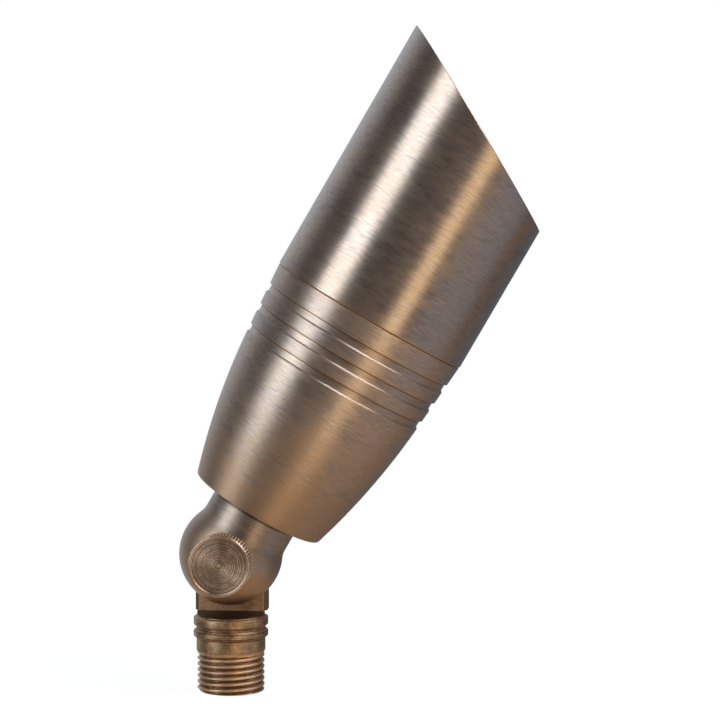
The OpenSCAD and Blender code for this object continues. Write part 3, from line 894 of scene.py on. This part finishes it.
@dataclass
class Housing(Lathework):
    """The tapered housing with its three grooves, its spigot and its bores."""

    body: str = "head"
    slot: str = "bronze"
    bottom: float = 16.6
    length: float = 68.2
    seam_r: float = 31.6
    draft: float = 4.2
    draft_len: float = 22.0
    ogive_r: float = 212.0
    ogive_cuts: int = 28
    bottom_soft: float = 0.8
    floor: float = 4.0
    groove_count: int = 3
    groove_first: float = 6.6
    groove_pitch: float = 6.7
    groove_w: float = 2.45
    groove_depth: float = 0.65
    edge: float = 0.14
    worn_edge: float = 0.45
    worn_slope: float = 0.84
    spigot_r: float = 29.6
    spigot_len: float = 17.0
    ring_floor_r: float = 28.05
    ring_w: float = 2.4
    ring_at: float = 90.3
    ring_pitch: float = 6.0
    bore_r: float = 26.3
    plate_bore_r: float = 24.2
    chamber_r: float = 18.4
    plate: float = 43.9
    funnel_foot: float = 15.1
    funnel_top: float = 19.3
    flange_r: float = 13.95
    flange_top: float = 18.3
    hole_r: float = 10.6

    @property
    def seam(self) -> float:
        """The height of the seam under the shroud."""
        return self.bottom + self.length

    def outside_r(self, z: float) -> float:
        """The housing's outer radius: a straight taper, then a circle tangent to it."""
        low = self.seam - self.draft_len
        slope = math.radians(self.draft)
        low_r = self.seam_r - self.draft_len * math.tan(slope)
        if z >= low:
            return self.seam_r - (self.seam - z) * math.tan(slope)
        centre_r = low_r - self.ogive_r * math.cos(slope)
        centre_z = low + self.ogive_r * math.sin(slope)
        return centre_r + math.sqrt(self.ogive_r**2 - (centre_z - z) ** 2)

    def outline(self) -> list[Corner]:
        """Draws the housing's half section, from its bottom up the outside and down the bore."""
        corners = [Corner(self.flange_r, self.bottom, 0.1)]
        corners.append(Corner(self.outside_r(self.bottom), self.bottom, self.bottom_soft))
        lowest = self.seam - self.groove_first - (self.groove_count - 1) * self.groove_pitch - self.groove_w
        for i in range(1, self.ogive_cuts + 1):
            z = self.bottom + (lowest - self.worn_edge - self.bottom) * i / (self.ogive_cuts + 1)
            corners.append(Corner(self.outside_r(z), z))
        for i in reversed(range(self.groove_count)):
            top = self.seam - self.groove_first - i * self.groove_pitch
            foot = top - self.groove_w
            floor_r = self.outside_r((top + foot) / 2) - self.groove_depth
            start = foot - self.worn_edge
            corners.append(Corner(self.outside_r(start), start, 0.3))
            corners.append(Corner(self.outside_r(foot) - self.worn_edge * self.worn_slope, foot, 0.2))
            corners.append(Corner(floor_r, foot, self.edge))
            corners.append(Corner(floor_r, top, self.edge))
            corners.append(Corner(self.outside_r(top), top, self.edge))
        corners.append(Corner(self.seam_r, self.seam, self.worn_edge))
        corners.append(Corner(self.spigot_r, self.seam))
        for i in range(2):
            foot = self.ring_at + i * self.ring_pitch - self.ring_w / 2
            for r, z in (
                (self.spigot_r, foot), (self.ring_floor_r, foot),
                (self.ring_floor_r, foot + self.ring_w), (self.spigot_r, foot + self.ring_w),
            ):
                corners.append(Corner(r, z, 0.1))
        top = self.seam + self.spigot_len
        corners.append(Corner(self.spigot_r, top, 0.4))
        corners.append(Corner(self.bore_r, top, 0.3))
        corners.append(Corner(self.bore_r, self.plate + self.funnel_top))
        corners.append(Corner(self.plate_bore_r, self.plate + self.funnel_foot))
        corners.append(Corner(self.plate_bore_r, self.plate))
        corners.append(Corner(self.chamber_r, self.plate))
        corners.append(Corner(self.chamber_r, self.bottom + self.floor))
        corners.append(Corner(self.hole_r, self.bottom + self.floor))
        corners.append(Corner(self.hole_r, self.flange_top))
        corners.append(Corner(self.flange_r, self.flange_top))
        return corners

    def build(self) -> None:
        """Turns the housing and dresses it."""
        piece = Bench.turned("housing_shell", rounded(self.outline()))
        Bench.settle(piece, Place.HEAD)
        self.dress(piece, self.finish().material(), "housing")

    def finish(self) -> AgedBrass:
        """The brushed finish: duller and more tan towards the bottom, worn gold along the grooves and the
        seam, and painted shade with patina under each groove's top edge.
        """
        tops = [self.seam - self.groove_first - i * self.groove_pitch for i in range(self.groove_count)]
        return AgedBrass(
            "brushed_housing", Place.HEAD, shade=(0.38, 0.30, 0.26), bright=(0.69, 0.55, 0.47),
            tan=(0.64, 0.42, 0.26), roughness=0.45, dull_from=self.seam - self.draft_len,
            dull_to=self.bottom, dull_gain=0.17, tan_gain=0.5, gild=2.0,
            worn_rings=tuple((z, 0.2) for z in (self.seam, *tops)),
            # Painted shade, with patina, just under each groove's top edge.
            painted_shade_rings=tuple((top - 0.22, 0.2) for top in tops),
        )


@dataclass
class Shroud(Lathework):
    """The glare guard: a tube with an angled mouth, a lens rib and a snap-ring groove."""

    body: str = "glare_guard"
    slot: str = "bronze"
    outer_r: float = 31.75
    wall: float = 1.75
    seam: float = 84.8
    seam_gap: float = 0.08
    long_side: float = 82.7
    short_side: float = 47.7
    rib_z: float = 107.55
    rib_w: float = 2.0
    rib_h: float = 2.6
    rib_slope: float = 0.6
    spare: float = 2.0
    on_plane: float = 0.01
    snap_z: float = 102.1
    snap_top: float = 103.3
    snap_depth: float = 0.7
    lip: float = 0.3

    def outline(self) -> list[Corner]:
        """Draws the tube's half section, with its length to spare for the cut."""
        bore = self.outer_r - self.wall
        foot = self.seam + self.seam_gap
        top = self.seam + self.long_side + self.spare
        return [
            Corner(bore, foot, 0.3), Corner(self.outer_r, foot, 0.25),
            Corner(self.outer_r, top), Corner(bore, top),
            Corner(bore, self.rib_z + self.rib_w + self.rib_slope, 0.2),
            Corner(bore - self.rib_h, self.rib_z + self.rib_w, 0.2),
            Corner(bore - self.rib_h, self.rib_z, 0.1), Corner(bore, self.rib_z),
            Corner(bore, self.snap_top), Corner(bore + self.snap_depth, self.snap_top),
            Corner(bore + self.snap_depth, self.snap_z), Corner(bore, self.snap_z),
        ]

    def build(self) -> None:
        """Turns the tube, cuts its mouth and softens the lip."""
        piece = Bench.turned("shroud_tube", rounded(self.outline()))
        middle = Vector((0, 0, self.seam + (self.long_side + self.short_side) / 2))
        slant = Vector((self.long_side - self.short_side, 0, 2 * self.outer_r)).normalized()
        Bench.cut(piece, middle, slant, fill=False)
        plane = middle.dot(slant)

        def on_cut(part: Any) -> bool:
            """Whether both ends of an edge lie in the cut."""
            ends = (piece.data.vertices[i].co / MM for i in part.vertices)
            return all(abs(end.dot(slant) - plane) < self.on_plane for end in ends)

        Bench.select(piece, "EDGE", on_cut)
        bpy.ops.mesh.bridge_edge_loops()
        Bench.clear()
        Bench.select(piece, "EDGE", lambda e: on_cut(e) and self._is_rim(piece, e))
        bpy.ops.mesh.bevel(offset=self.lip * MM, segments=3, affect="EDGES", clamp_overlap=True)
        Bench.weld(piece)
        Bench.settle(piece, Place.HEAD)
        self.dress(piece, self.finish().material(), "shroud")

    def finish(self) -> AgedBrass:
        """The brushed finish, worn to gold along the foot."""
        return AgedBrass(
            "brushed_shroud", Place.HEAD, roughness=0.35, line_depth=0.010, gild=0.7,
            worn_rings=((self.seam + self.seam_gap, 0.25),),
        )

    @staticmethod
    def _is_rim(piece: bpy.types.Object, edge: Any) -> bool:
        """Whether an edge of the cut runs along the rim, and not across the wall."""
        reach = 0.2 * MM
        a, b = (piece.data.vertices[i].co.xy.length for i in edge.vertices)
        return abs(a - b) < reach


@dataclass
class Knuckle(Lathework):
    """The upper half of the knuckle: half ball, fillet, neck, flange and spigot."""

    body: str = "head"
    slot: str = "bronze"
    ball_r: float = 15.875
    neck_r: float = 13.85
    fillet: float = 8.0
    bottom: float = 16.6
    flange: float = 1.2
    spigot_r: float = 10.5
    spigot_top: float = 26.7
    flat: float = 13.0
    flat_r: float = 7.6
    split: float = 0.05
    hole_r: float = 3.575
    clear: float = 40.0
    ball_steps: int = 64
    fillet_steps: int = 16
    drill_sides: int = 128

    def outline(self) -> list[tuple[float, float]]:
        """Draws the half section: the ball's arc, the fillet's arc, neck, flange and spigot."""
        reach = self.ball_r + self.fillet
        rise = math.sqrt(reach**2 - (self.neck_r + self.fillet) ** 2)
        meet = math.atan2(rise, self.neck_r + self.fillet)
        points = []
        for i in range(self.ball_steps + 1):
            turn = -math.pi / 2 + (meet + math.pi / 2) * i / self.ball_steps
            points.append((self.ball_r * math.cos(turn), self.ball_r * math.sin(turn)))
        for i in range(1, self.fillet_steps + 1):
            turn = meet * (1 - i / self.fillet_steps)
            r = self.neck_r + self.fillet - self.fillet * math.cos(turn)
            points.append((r, rise - self.fillet * math.sin(turn)))
        points[0] = (0.0, -self.ball_r)
        points += [
            (self.neck_r, self.bottom + self.flange), (self.spigot_r, self.bottom + self.flange),
            (self.spigot_r, self.spigot_top), (0.0, self.spigot_top),
        ]
        return points

    def build(self) -> None:
        """Turns the half, cuts it at the split, faces the screw's seat, drills it and dresses it."""
        piece = Bench.turned("upper_knuckle_half", self.outline())
        big = self.clear
        back = Bench.block("back_cutter", (-big, -self.split, -big), (big, big, self.bottom))
        Bench.combine(piece, back, "DIFFERENCE")
        for radius, depth in ((self.flat_r, self.flat), (self.hole_r, -1)):
            corners = [(0, depth), (radius, depth), (radius, big), (0, big)]
            drill = Bench.turned("drill", corners, self.drill_sides)
            Bench.pick(drill)
            drill.matrix_world = Matrix.Rotation(math.pi / 2, 4, "X")
            bpy.ops.object.transform_apply(location=True, rotation=True, scale=True)
            Bench.combine(piece, drill, "DIFFERENCE")
        Bench.settle(piece, Place.HEAD)
        self.dress(piece, self.finish().material(), "upper_knuckle")

    def finish(self) -> AgedBrass:
        """The brushed finish, duller and more tan than the shroud's, with painted shade on the neck under the
        housing's rim.
        """
        return AgedBrass(
            "brushed_knuckle", Place.HEAD, roughness=0.5, stretch=0.5, line=0.2, stroke=5.0,
            dull_from=self.bottom, dull_to=-self.ball_r, dull_gain=0.05, tan_gain=1.4,
            tan=(0.55, 0.37, 0.235),
            # Painted shade on the neck, under the housing's rim.
            painted_shade_rings=((self.bottom - 0.6, 1.6),),
        )


@dataclass
class Stem(Lathework):
    """The lower half of the knuckle: half ball, milled shank, rings, boss and pipe thread."""

    body: str = "stem"
    slot: str = "bronze"
    thread_r: float = 10.3
    thread_depth: float = 0.9
    pitch: float = 25.4 / 14
    front_crest: float = 1.43
    crest_share: float = 0.11
    ridge: float = 0.25
    ridge_share: float = 0.12
    rows_per_turn: int = 22
    thread_len: float = 12.0
    lead_in: float = 0.3
    lead_out: float = 0.7
    boss_z: float = 12.8
    boss_r: float = 10.6
    ring_z: float = 16.4
    ring_r: float = 11.45
    lower_ring_w: float = 1.45
    upper_ring_w: float = 2.15
    ring_slope: float = 0.75
    groove_r: float = 10.6
    groove_w: float = 0.5
    stub_r: float = 10.5
    shoulder: float = 0.45
    ledge_r: float = 10.35
    ledge: float = 24.45
    ledge_fall: float = 1.15
    bushing_r: float = 7.4
    bushing_top: float = 9.0
    bore_r: float = 5.2
    bore_top: float = 20.45
    ball_r: float = 15.875
    split: float = 0.05
    shank_half: float = 11.1
    shank_cut: float = 1.2
    shank_back: float = 4.8
    spare: float = 2.0
    edge: float = 0.12
    ball_steps: int = 96
    sharp: float = 65.0

    def outline(self) -> list[Corner]:
        """Draws the turned part's half section, from the thread's root up to the ledge."""
        ring_top = self.ring_z + self.ring_slope + self.lower_ring_w
        groove = ring_top + self.ring_slope
        second = groove + self.groove_w
        second_top = second + self.ring_slope + self.upper_ring_w
        rows = round(self.thread_len / self.pitch * self.rows_per_turn)
        return [
            Corner(0, self.bore_top), Corner(self.bore_r, self.bore_top),
            Corner(self.bore_r, self.bushing_top),
            Corner(self.bushing_r, self.bushing_top), Corner(self.bushing_r, 0, 0.2),
            *(Corner(self.thread_r, self.thread_len * i / rows) for i in range(rows + 1)),
            Corner(self.boss_r, self.boss_z, 0.15), Corner(self.boss_r, self.ring_z, 0.1),
            Corner(self.ring_r, self.ring_z + self.ring_slope, self.edge),
            Corner(self.ring_r, ring_top, self.edge),
            Corner(self.groove_r, groove, 0.1), Corner(self.groove_r, second, 0.1),
            Corner(self.ring_r, second + self.ring_slope, self.edge),
            Corner(self.ring_r, second_top, self.edge),
            Corner(self.stub_r, second_top + self.shoulder, 0.1), Corner(self.ledge_r, self.ledge),
            Corner(0, self.ledge),
        ]

    def wind_thread(self, piece: bpy.types.Object) -> None:
        """Sinks the pipe thread into the plain round below the boss: a right-handed V with a narrow crest.

        Args:
            piece: The turned stem, upright.
        """
        mesh = piece.data
        points = np.empty(len(mesh.vertices) * 3)
        mesh.vertices.foreach_get("co", points)
        points = points.reshape(-1, 3)
        radius = np.hypot(points[:, 0], points[:, 1])
        height = points[:, 2] / MM
        outer = (radius > (self.thread_r - self.edge) * MM) & (height < self.thread_len + self.edge)
        front = np.arctan2(points[:, 1], points[:, 0]) + math.pi / 2
        phase = ((height - self.front_crest) / self.pitch - front / FULL_TURN + 0.5) % 1 - 0.5
        sunk = np.clip((np.abs(phase) - self.crest_share) / (0.5 - 2 * self.crest_share), 0, 1)
        fade = np.clip((self.thread_len - height) / self.lead_out, 0, 1)
        start = np.clip(1 - height / self.lead_in, 0, 1) * self.lead_in
        ridge = np.clip(1 - (0.5 - np.abs(phase)) / self.ridge_share, 0, 1) * self.ridge
        depth = np.maximum((sunk * self.thread_depth - ridge) * fade, start) * MM
        points[outer, :2] *= (1 - depth[outer] / radius[outer])[:, None]
        mesh.vertices.foreach_set("co", points.ravel())
        mesh.update()

    def ledge_cutter(self) -> bpy.types.Object:
        """Builds the wedge that takes the ledge's front half down towards its rim."""
        wide = 2 * self.ball_r
        cutter = Bench.block("ledge_cutter", (-wide, -wide, 0), (wide, 0, wide))
        cutter.rotation_euler.x = math.atan2(self.ledge_fall, self.ledge_r)
        cutter.location = Vector((0, self.split, self.ledge)) * MM
        bpy.ops.object.transform_apply(location=True, rotation=True, scale=True)
        return cutter

    def shank(self) -> bpy.types.Object:
        """Builds the half ball on its milled shank: both whole at first, and then cut at the split."""
        rise = PIVOT.z / MM
        arc = [(self.ball_r * math.cos(t), rise + self.ball_r * math.sin(t))
               for t in (math.pi * (i / self.ball_steps - 0.5) for i in range(self.ball_steps + 1))]
        arc[0], arc[-1] = (0.0, rise - self.ball_r), (0.0, rise + self.ball_r)
        ball = Bench.turned("milled_shank", arc)
        half, back, face = self.shank_half, self.shank_back, self.split
        block = Bench.block("shank_block", (-half, face - self.spare, self.ledge), (half, half, rise))
        for x in (-1, 1):
            Bench.cut(block, Vector((x * half, half - back, 0)), Vector((x, 1, 0)).normalized())
            Bench.cut(block, Vector((x * (half - self.shank_cut), face, 0)), Vector((x, -1, 0)).normalized())
        Bench.apply(block, "BEVEL", width=self.edge * MM, segments=2, limit_method="ANGLE")
        Bench.combine(ball, block, "UNION")
        wide = 2 * self.ball_r
        front = Bench.block("front_cutter", (-wide, -wide, 0), (wide, face, rise + wide))
        Bench.combine(ball, front, "DIFFERENCE")
        return ball

    def build(self) -> None:
        """Makes the turned stem and the shank, and dresses both."""
        stem = Bench.turned("turned_stem", rounded(self.outline(), closed=False))
        Bench.combine(stem, self.ledge_cutter(), "DIFFERENCE")
        self.wind_thread(stem)
        Bench.settle(stem, Place.STEM, self.sharp)
        self.dress(stem, self.finish().material(), "lower_knuckle")
        shank = self.shank()
        Bench.settle(shank, Place.STEM)
        self.dress(shank, self.shank_finish().material(), "lower_knuckle")

    def finish(self) -> SandyBrass:
        """The stem's finish: dark valleys and worn crests on the thread, and painted shade on the ledge under
        the shank and in thin lines along the ring edges.
        """
        ring_top = self.ring_slope + self.lower_ring_w
        steps = (0, self.ring_slope, ring_top, ring_top + self.ring_slope)
        # Painted shade in thin lines along the ring edges.
        lines = tuple((self.ring_z + step, 0.16) for step in steps)
        return SandyBrass(
            "sandy_stem", valley=(self.thread_r - 0.55, self.thread_r - 0.88), crest_top=self.boss_z,
            # The first dark band is painted shade on the ledge under the shank.
            crest=(self.thread_r - 0.7, self.thread_r - 0.25), painted_shade_rings=((self.ledge - 0.55, 0.8), *lines),
        )

    def shank_finish(self) -> SandyBrass:
        """The shank's finish, grainier than the stem's, with painted shade on its side chamfers."""
        return SandyBrass(
            "sandy_shank", shade=(0.40, 0.25, 0.15), bright=(0.84, 0.56, 0.36), roughness=0.62, stretch=0.0,
            grain_depth=0.03, painted_shade_sides=self.shank_half - self.shank_cut,
        )


@dataclass
class ThumbScrew(Lathework):
    """The knurled screw that clamps the knuckle."""

    body: str = "screw"
    slot: str = "thumb_brass"
    head_r: float = 9.25
    head_t: float = 7.0
    back: float = 22.3
    knurls: int = 60
    knurl_depth: float = 0.35
    chamfer: float = 0.4
    rim: float = 0.75
    dish: float = 0.22
    ring_pitch: float = 0.52
    ring_depth: float = 0.02
    collar_r: float = 5.6
    collar_back: float = 14.1
    shank_r: float = 3.175
    grip: float = 8.5
    tip: float = 0.3
    dish_slope: float = 0.25
    spare: float = 0.05
    sides: int = 240
    roller_len: float = 60.0
    roller_middle: float = 10.0
    sharp: float = 25.0

    def outline(self) -> list[Corner]:
        """Draws the screw's half section, with the facing marks on its face."""
        face = self.back + self.head_t
        inner = self.head_r - self.rim
        corners = [
            Corner(0, -self.grip), Corner(self.shank_r - self.tip, -self.grip),
            Corner(self.shank_r, -self.grip + self.tip),
            Corner(self.shank_r, self.collar_back), Corner(self.collar_r, self.collar_back, 0.2),
            Corner(self.collar_r, self.back, 0.3), Corner(self.head_r - self.chamfer, self.back),
            Corner(self.head_r + self.spare, self.back + self.chamfer + self.spare),
            Corner(self.head_r + self.spare, face - self.chamfer - self.spare),
            Corner(self.head_r - self.chamfer, face, 0.1), Corner(inner, face, 0.08),
            Corner(inner - self.dish_slope, face - self.dish, 0.08),
        ]
        rings = int((inner - self.dish_slope) / self.ring_pitch)
        for i in range(1, 2 * rings):
            r = inner - self.dish_slope - i * self.ring_pitch / 2
            corners.append(Corner(r, face - self.dish - (i % 2) * self.ring_depth, 0.1))
        corners.append(Corner(0, face - self.dish))
        return corners

    def build(self) -> None:
        """Turns the screw, knurls its head and dresses it."""
        piece = Bench.turned("knurled_screw", rounded(self.outline(), closed=False, cuts=3), self.sides)
        Bench.clear()
        bpy.ops.mesh.primitive_cylinder_add(
            vertices=4 * self.knurls, radius=self.head_r * MM, depth=self.roller_len * MM,
            location=(0, 0, self.roller_middle * MM))
        roller = bpy.context.object
        bpy.ops.object.transform_apply(location=True, rotation=True, scale=True)
        step = FULL_TURN / (4 * self.knurls)

        def in_valley(vertex: Any) -> bool:
            """Whether a point of the roller lies in a knurl's valley."""
            return round(math.atan2(vertex.co.y, vertex.co.x) / step) % 4 == 2

        Bench.select(roller, "VERT", in_valley)
        shrink = 1 - self.knurl_depth / self.head_r
        bpy.ops.transform.resize(value=(shrink, shrink, 1))
        Bench.clear()
        Bench.combine(piece, roller, "INTERSECT")
        Bench.settle(piece, Place.SCREW, self.sharp)
        self.dress(piece, self.finish().material(), "thumb_screw")

    def finish(self) -> FacedBrass:
        """The screw's finish, darker in the knurls' valleys, and with a painted highlight on the face's rim.
        """
        floor = self.head_r - self.knurl_depth
        return FacedBrass("faced_screw", valley=(self.head_r - 0.1, floor), face=self.back + self.head_t)


@dataclass
class Lamp(Lathework):
    """The lamp behind the lens: its faceted mirror. Its capsule and cover glass keep their imported solids.
    """

    body: str = "head"
    slot: str = "lamp_mirror"
    rim_r: float = 25.0
    front: float = 99.5
    rim_h: float = 2.6
    wall: float = 1.5
    rear: float = 65.05
    rear_h: float = 2.5
    rear_r: float = 10.0
    throat_r: float = 7.0
    rim_wall: float = 1.4
    rim_step: float = 0.6
    seat: float = 1.25
    bowl_top: float = 1.7
    facets: int = 24
    rows: int = 7

    def bowl_r(self, share: float) -> float:
        """The bowl's outer radius at a share of its depth."""
        front_r = self.rim_r - self.rim_step
        return math.sqrt(self.rear_r**2 + share * (front_r**2 - self.rear_r**2))

    def build(self) -> None:
        """Turns the reflector with few steps, so that its inside is faceted, and dresses it."""
        bowl = self.rear + self.rear_h
        rim = self.front - self.rim_h
        deep = self.front - self.bowl_top - bowl - self.wall
        points = [(self.throat_r, self.rear), (self.rear_r, self.rear)]
        points += [(self.bowl_r(i / self.rows), bowl + (rim - bowl) * i / self.rows)
                   for i in range(self.rows + 1)]
        points += [(self.rim_r, rim), (self.rim_r, self.front), (self.rim_r - self.rim_wall, self.front),
                   (self.rim_r - self.rim_wall, self.front - self.seat)]
        points += [(self.bowl_r(i / self.rows) - self.wall, bowl + self.wall / 2 + deep * i / self.rows)
                   for i in range(self.rows, 0, -1)]
        points += [(self.throat_r, bowl + self.wall / 2), (self.throat_r, self.rear)]
        piece = Bench.turned("faceted_reflector", points, self.facets * 2)
        Bench.settle(piece, Place.HEAD, sharp=4)
        mirror = Plain(
            "lamp_mirror", (0.86, 0.87, 0.88), metallic=1.0, roughness=0.08, contrast=0.05, depth=0.002
        )
        self.dress(piece, mirror.material(), "lamp_reflector")


@dataclass
class InnerPieces:
    """The solids that are kept as they are and only get a finish."""

    finishes: dict[str, tuple[Any, tuple[str, ...]]] = field(default_factory=lambda: {
        "steel": (Plain("satin_steel", (0.62, 0.61, 0.60), 1.0, 0.32), (
            "screw_washer", "lock_washer", "plate_screws", "socket_screws", "socket_plate", "snap_ring")),
        "brass": (Plain("raw_brass", (0.78, 0.58, 0.28), 1.0, 0.3), ("knuckle_locknut", "socket_contacts")),
        "rubber": (Plain("black_rubber", (0.03, 0.03, 0.03), 0.0, 0.7), (
            "wire_bushing", "knuckle_gasket", "flange_gasket", "neck_grommet", "o_rings", "lens_gasket")),
        "ceramic": (Plain("glazed_ceramic", (0.85, 0.83, 0.78), 0.0, 0.25, contrast=0.08), (
            "socket_body", "lamp_base")),
        "cover": (Plain("lead_cover", (0.75, 0.74, 0.70), 0.0, 0.5), ("lead_wires",)),
        "crimp": (Plain("crimp_shell", (0.80, 0.78, 0.70), 0.0, 0.45), ("crimp_connectors",)),
        "pins": (Plain("tinned_pins", (0.72, 0.72, 0.72), 1.0, 0.25), ("lamp_pins",)),
        "glass": (Clear("clear_glass"), ("lens", "lamp_cover_glass", "lamp_capsule")),
    })

    def build(self) -> None:
        """Gives each kept solid its finish."""
        for finish, nodes in self.finishes.values():
            material = finish.material()
            for node in nodes:
                mesh = frame["nodes"][node].data
                mesh.materials.clear()
                mesh.materials.append(material)
            LOG.info("%s: %s", finish.name, ", ".join(nodes))


@dataclass(frozen=True)
class SoftBox:
    """A rectangular studio lamp that faces the object."""

    name: str
    direction: tuple[float, float, float]
    width: float
    height: float
    power: float
    colour: Colour = (1.0, 1.0, 1.0)
    distance: float = 1.5

    def place(self, target: Vector) -> None:
        """Puts the lamp up.

        Args:
            target: The point that it faces, in metres.
        """
        lamp = bpy.data.lights.new(self.name, "AREA")
        lamp.shape = "RECTANGLE"
        lamp.size, lamp.size_y = self.width, self.height
        lamp.energy = self.power
        lamp.color = self.colour
        stand = bpy.data.objects.new(self.name, lamp)
        bpy.context.scene.collection.objects.link(stand)
        towards = Vector(self.direction).normalized()
        stand.location = target + towards * self.distance
        back = towards
        side = HEAD_AXIS.cross(back).normalized()
        along = back.cross(side)
        turn = Matrix((side, along, back)).transposed()
        stand.rotation_euler = turn.to_euler()


@dataclass
class Studio:
    """The floor, the backdrop's colour, the lamps and the camera."""

    azimuth: float = 3.64
    elevation: float = 2.60
    roll: float = 0.12
    distance: float = 648.0
    target: tuple[float, float, float] = (39.6, 0.0, 101.8)
    image_width: int = 720
    focal_pixels: float = 2126.0
    sensor: float = 36.0
    near: float = 0.01
    far: float = 50.0
    front_left: Colour = (0.115, 0.110, 0.108)
    front_right: Colour = (0.070, 0.068, 0.072)
    rear_left: Colour = (0.53, 0.58, 0.64)
    rear_right: Colour = (0.12, 0.14, 0.165)
    side: Colour = (0.28, 0.39, 0.53)
    side_top: Colour = (0.40, 0.30, 0.19)
    below: Colour = (0.46, 0.32, 0.20)
    left_to_right: tuple[float, float] = (-0.4, 0.3)
    front_to_rear: tuple[float, float] = (0.1, 0.8)
    level_to_below: tuple[float, float] = (-0.3, -0.82)
    side_to_top: tuple[float, float] = (-0.25, 0.0)
    beside: tuple[tuple[float, float], ...] = ((0.55, 0.8), (0.5, 0.0), (-0.75, -0.5))
    floor_size: float = 1.0
    floor_glow: float = 1.16
    floor_paint: float = 0.2
    floor_gap: float = 0.2
    floor_colour: Colour = (0.8, 0.8, 0.8)
    boxes: tuple[SoftBox, ...] = (
        SoftBox("key_box", (-0.686, -0.609, 0.398), 0.68, 1.6, 11.9, (0.84, 0.943, 1.0)),
        SoftBox("warm_box", (0.4325, -0.866, -0.2507), 0.40, 1.6, 3.6, (1.0, 0.83, 0.53)),
        SoftBox("top_box", (0.68, -0.24, 0.68), 1.20, 0.5, 13.0),
    )

    def camera(self) -> None:
        """Sets the camera where the photograph was taken from."""
        az, el, roll = (math.radians(a) for a in (self.azimuth, self.elevation, self.roll))
        back = Vector((math.sin(az) * math.cos(el), -math.cos(az) * math.cos(el), math.sin(el)))
        side = (-back).cross(Vector((0, 0, 1))).normalized()
        up = side.cross(-back)
        right = side * math.cos(roll) + up * math.sin(roll)
        top = up * math.cos(roll) - side * math.sin(roll)
        data = bpy.data.cameras.new("camera")
        data.sensor_width = self.sensor
        data.lens = self.focal_pixels / self.image_width * data.sensor_width
        data.clip_start, data.clip_end = self.near, self.far
        camera = bpy.data.objects.new("camera", data)
        stand = Matrix.Translation(Vector(self.target) * MM + back * self.distance * MM)
        camera.matrix_world = stand @ Matrix((right, top, back)).transposed().to_4x4()
        bpy.context.scene.collection.objects.link(camera)
        bpy.context.scene.camera = camera

    def floor(self) -> None:
        """Lays the floor: white to the camera but for the object's shadow, and absent from reflections."""
        Bench.clear()
        bpy.ops.mesh.primitive_plane_add(size=self.floor_size, location=(0, 0, -self.floor_gap * MM))
        floor = bpy.context.object
        floor.name = "floor"
        floor.visible_shadow = floor.visible_glossy = floor.visible_transmission = False
        graph = Graph.of_material("floor")
        ray = graph.add("ShaderNodeLightPath")
        paint = graph.add("ShaderNodeBsdfDiffuse", sockets={"Color": self.floor_colour})
        glow = graph.add(
            "ShaderNodeEmission", sockets={"Color": (1.0, 1.0, 1.0), "Strength": self.floor_glow}
        )
        seen = Value(graph, ray.outputs["Is Camera Ray"]) * (1 - self.floor_paint)
        shown = graph.add("ShaderNodeMixShader", sockets={0: seen, 1: paint.outputs[0], 2: glow.outputs[0]})
        graph.add("ShaderNodeOutputMaterial", sockets={0: shown.outputs[0]})
        floor.data.materials.append(graph.owner)

    def backdrop(self) -> None:
        """Colours the world: white behind the object, and a dim room in reflections."""
        world = bpy.data.worlds.new("room")
        bpy.context.scene.world = world
        graph = Graph(world)
        ray = graph.add("ShaderNodeLightPath")
        source = graph.add("ShaderNodeTexCoord")
        parts = graph.add("ShaderNodeSeparateXYZ", sockets={0: source.outputs["Generated"]})
        x, y, z = (Value(graph, parts.outputs[i]) for i in range(3))
        right = x.eased(*self.left_to_right)
        front = graph.blend(right, self.front_left, self.front_right)
        rear = graph.blend(right, self.rear_left, self.rear_right)
        room = graph.blend(y.eased(*self.front_to_rear), front, rear)
        room = graph.blend(z.eased(*self.level_to_below), room, self.below)
        across, ahead, upright = (part.eased(*edge) for part, edge in zip((x, y, z), self.beside))
        side = graph.blend(z.eased(*self.side_to_top), self.side, self.side_top)
        room = graph.blend(across * ahead * upright, room, side)
        colour = graph.blend(Value(graph, ray.outputs["Is Camera Ray"]), room, (1.0, 1.0, 1.0))
        shade = graph.add("ShaderNodeBackground", sockets={0: colour, 1: 1.0})
        graph.add("ShaderNodeOutputWorld", sockets={0: shade.outputs[0]})

    def build(self) -> None:
        """Sets up the whole studio."""
        scene = bpy.context.scene
        scene.view_settings.view_transform = "Standard"
        self.camera()
        self.floor()
        self.backdrop()
        for box in self.boxes:
            box.place(Vector(self.target) * MM)
        LOG.info("studio: camera, floor, backdrop and %d lamps", len(self.boxes))


def main() -> None:
    """Builds the studio and every sub-assembly, in order."""
    logging.basicConfig(level=logging.INFO, format="%(name)s: %(message)s")
    Studio().build()
    for part in (Stem(), ThumbScrew(), Knuckle(), Housing(), Shroud(), Lamp(), InnerPieces()):
        part.build()
    Bench.clear()


if __name__ == "__main__":
    main()
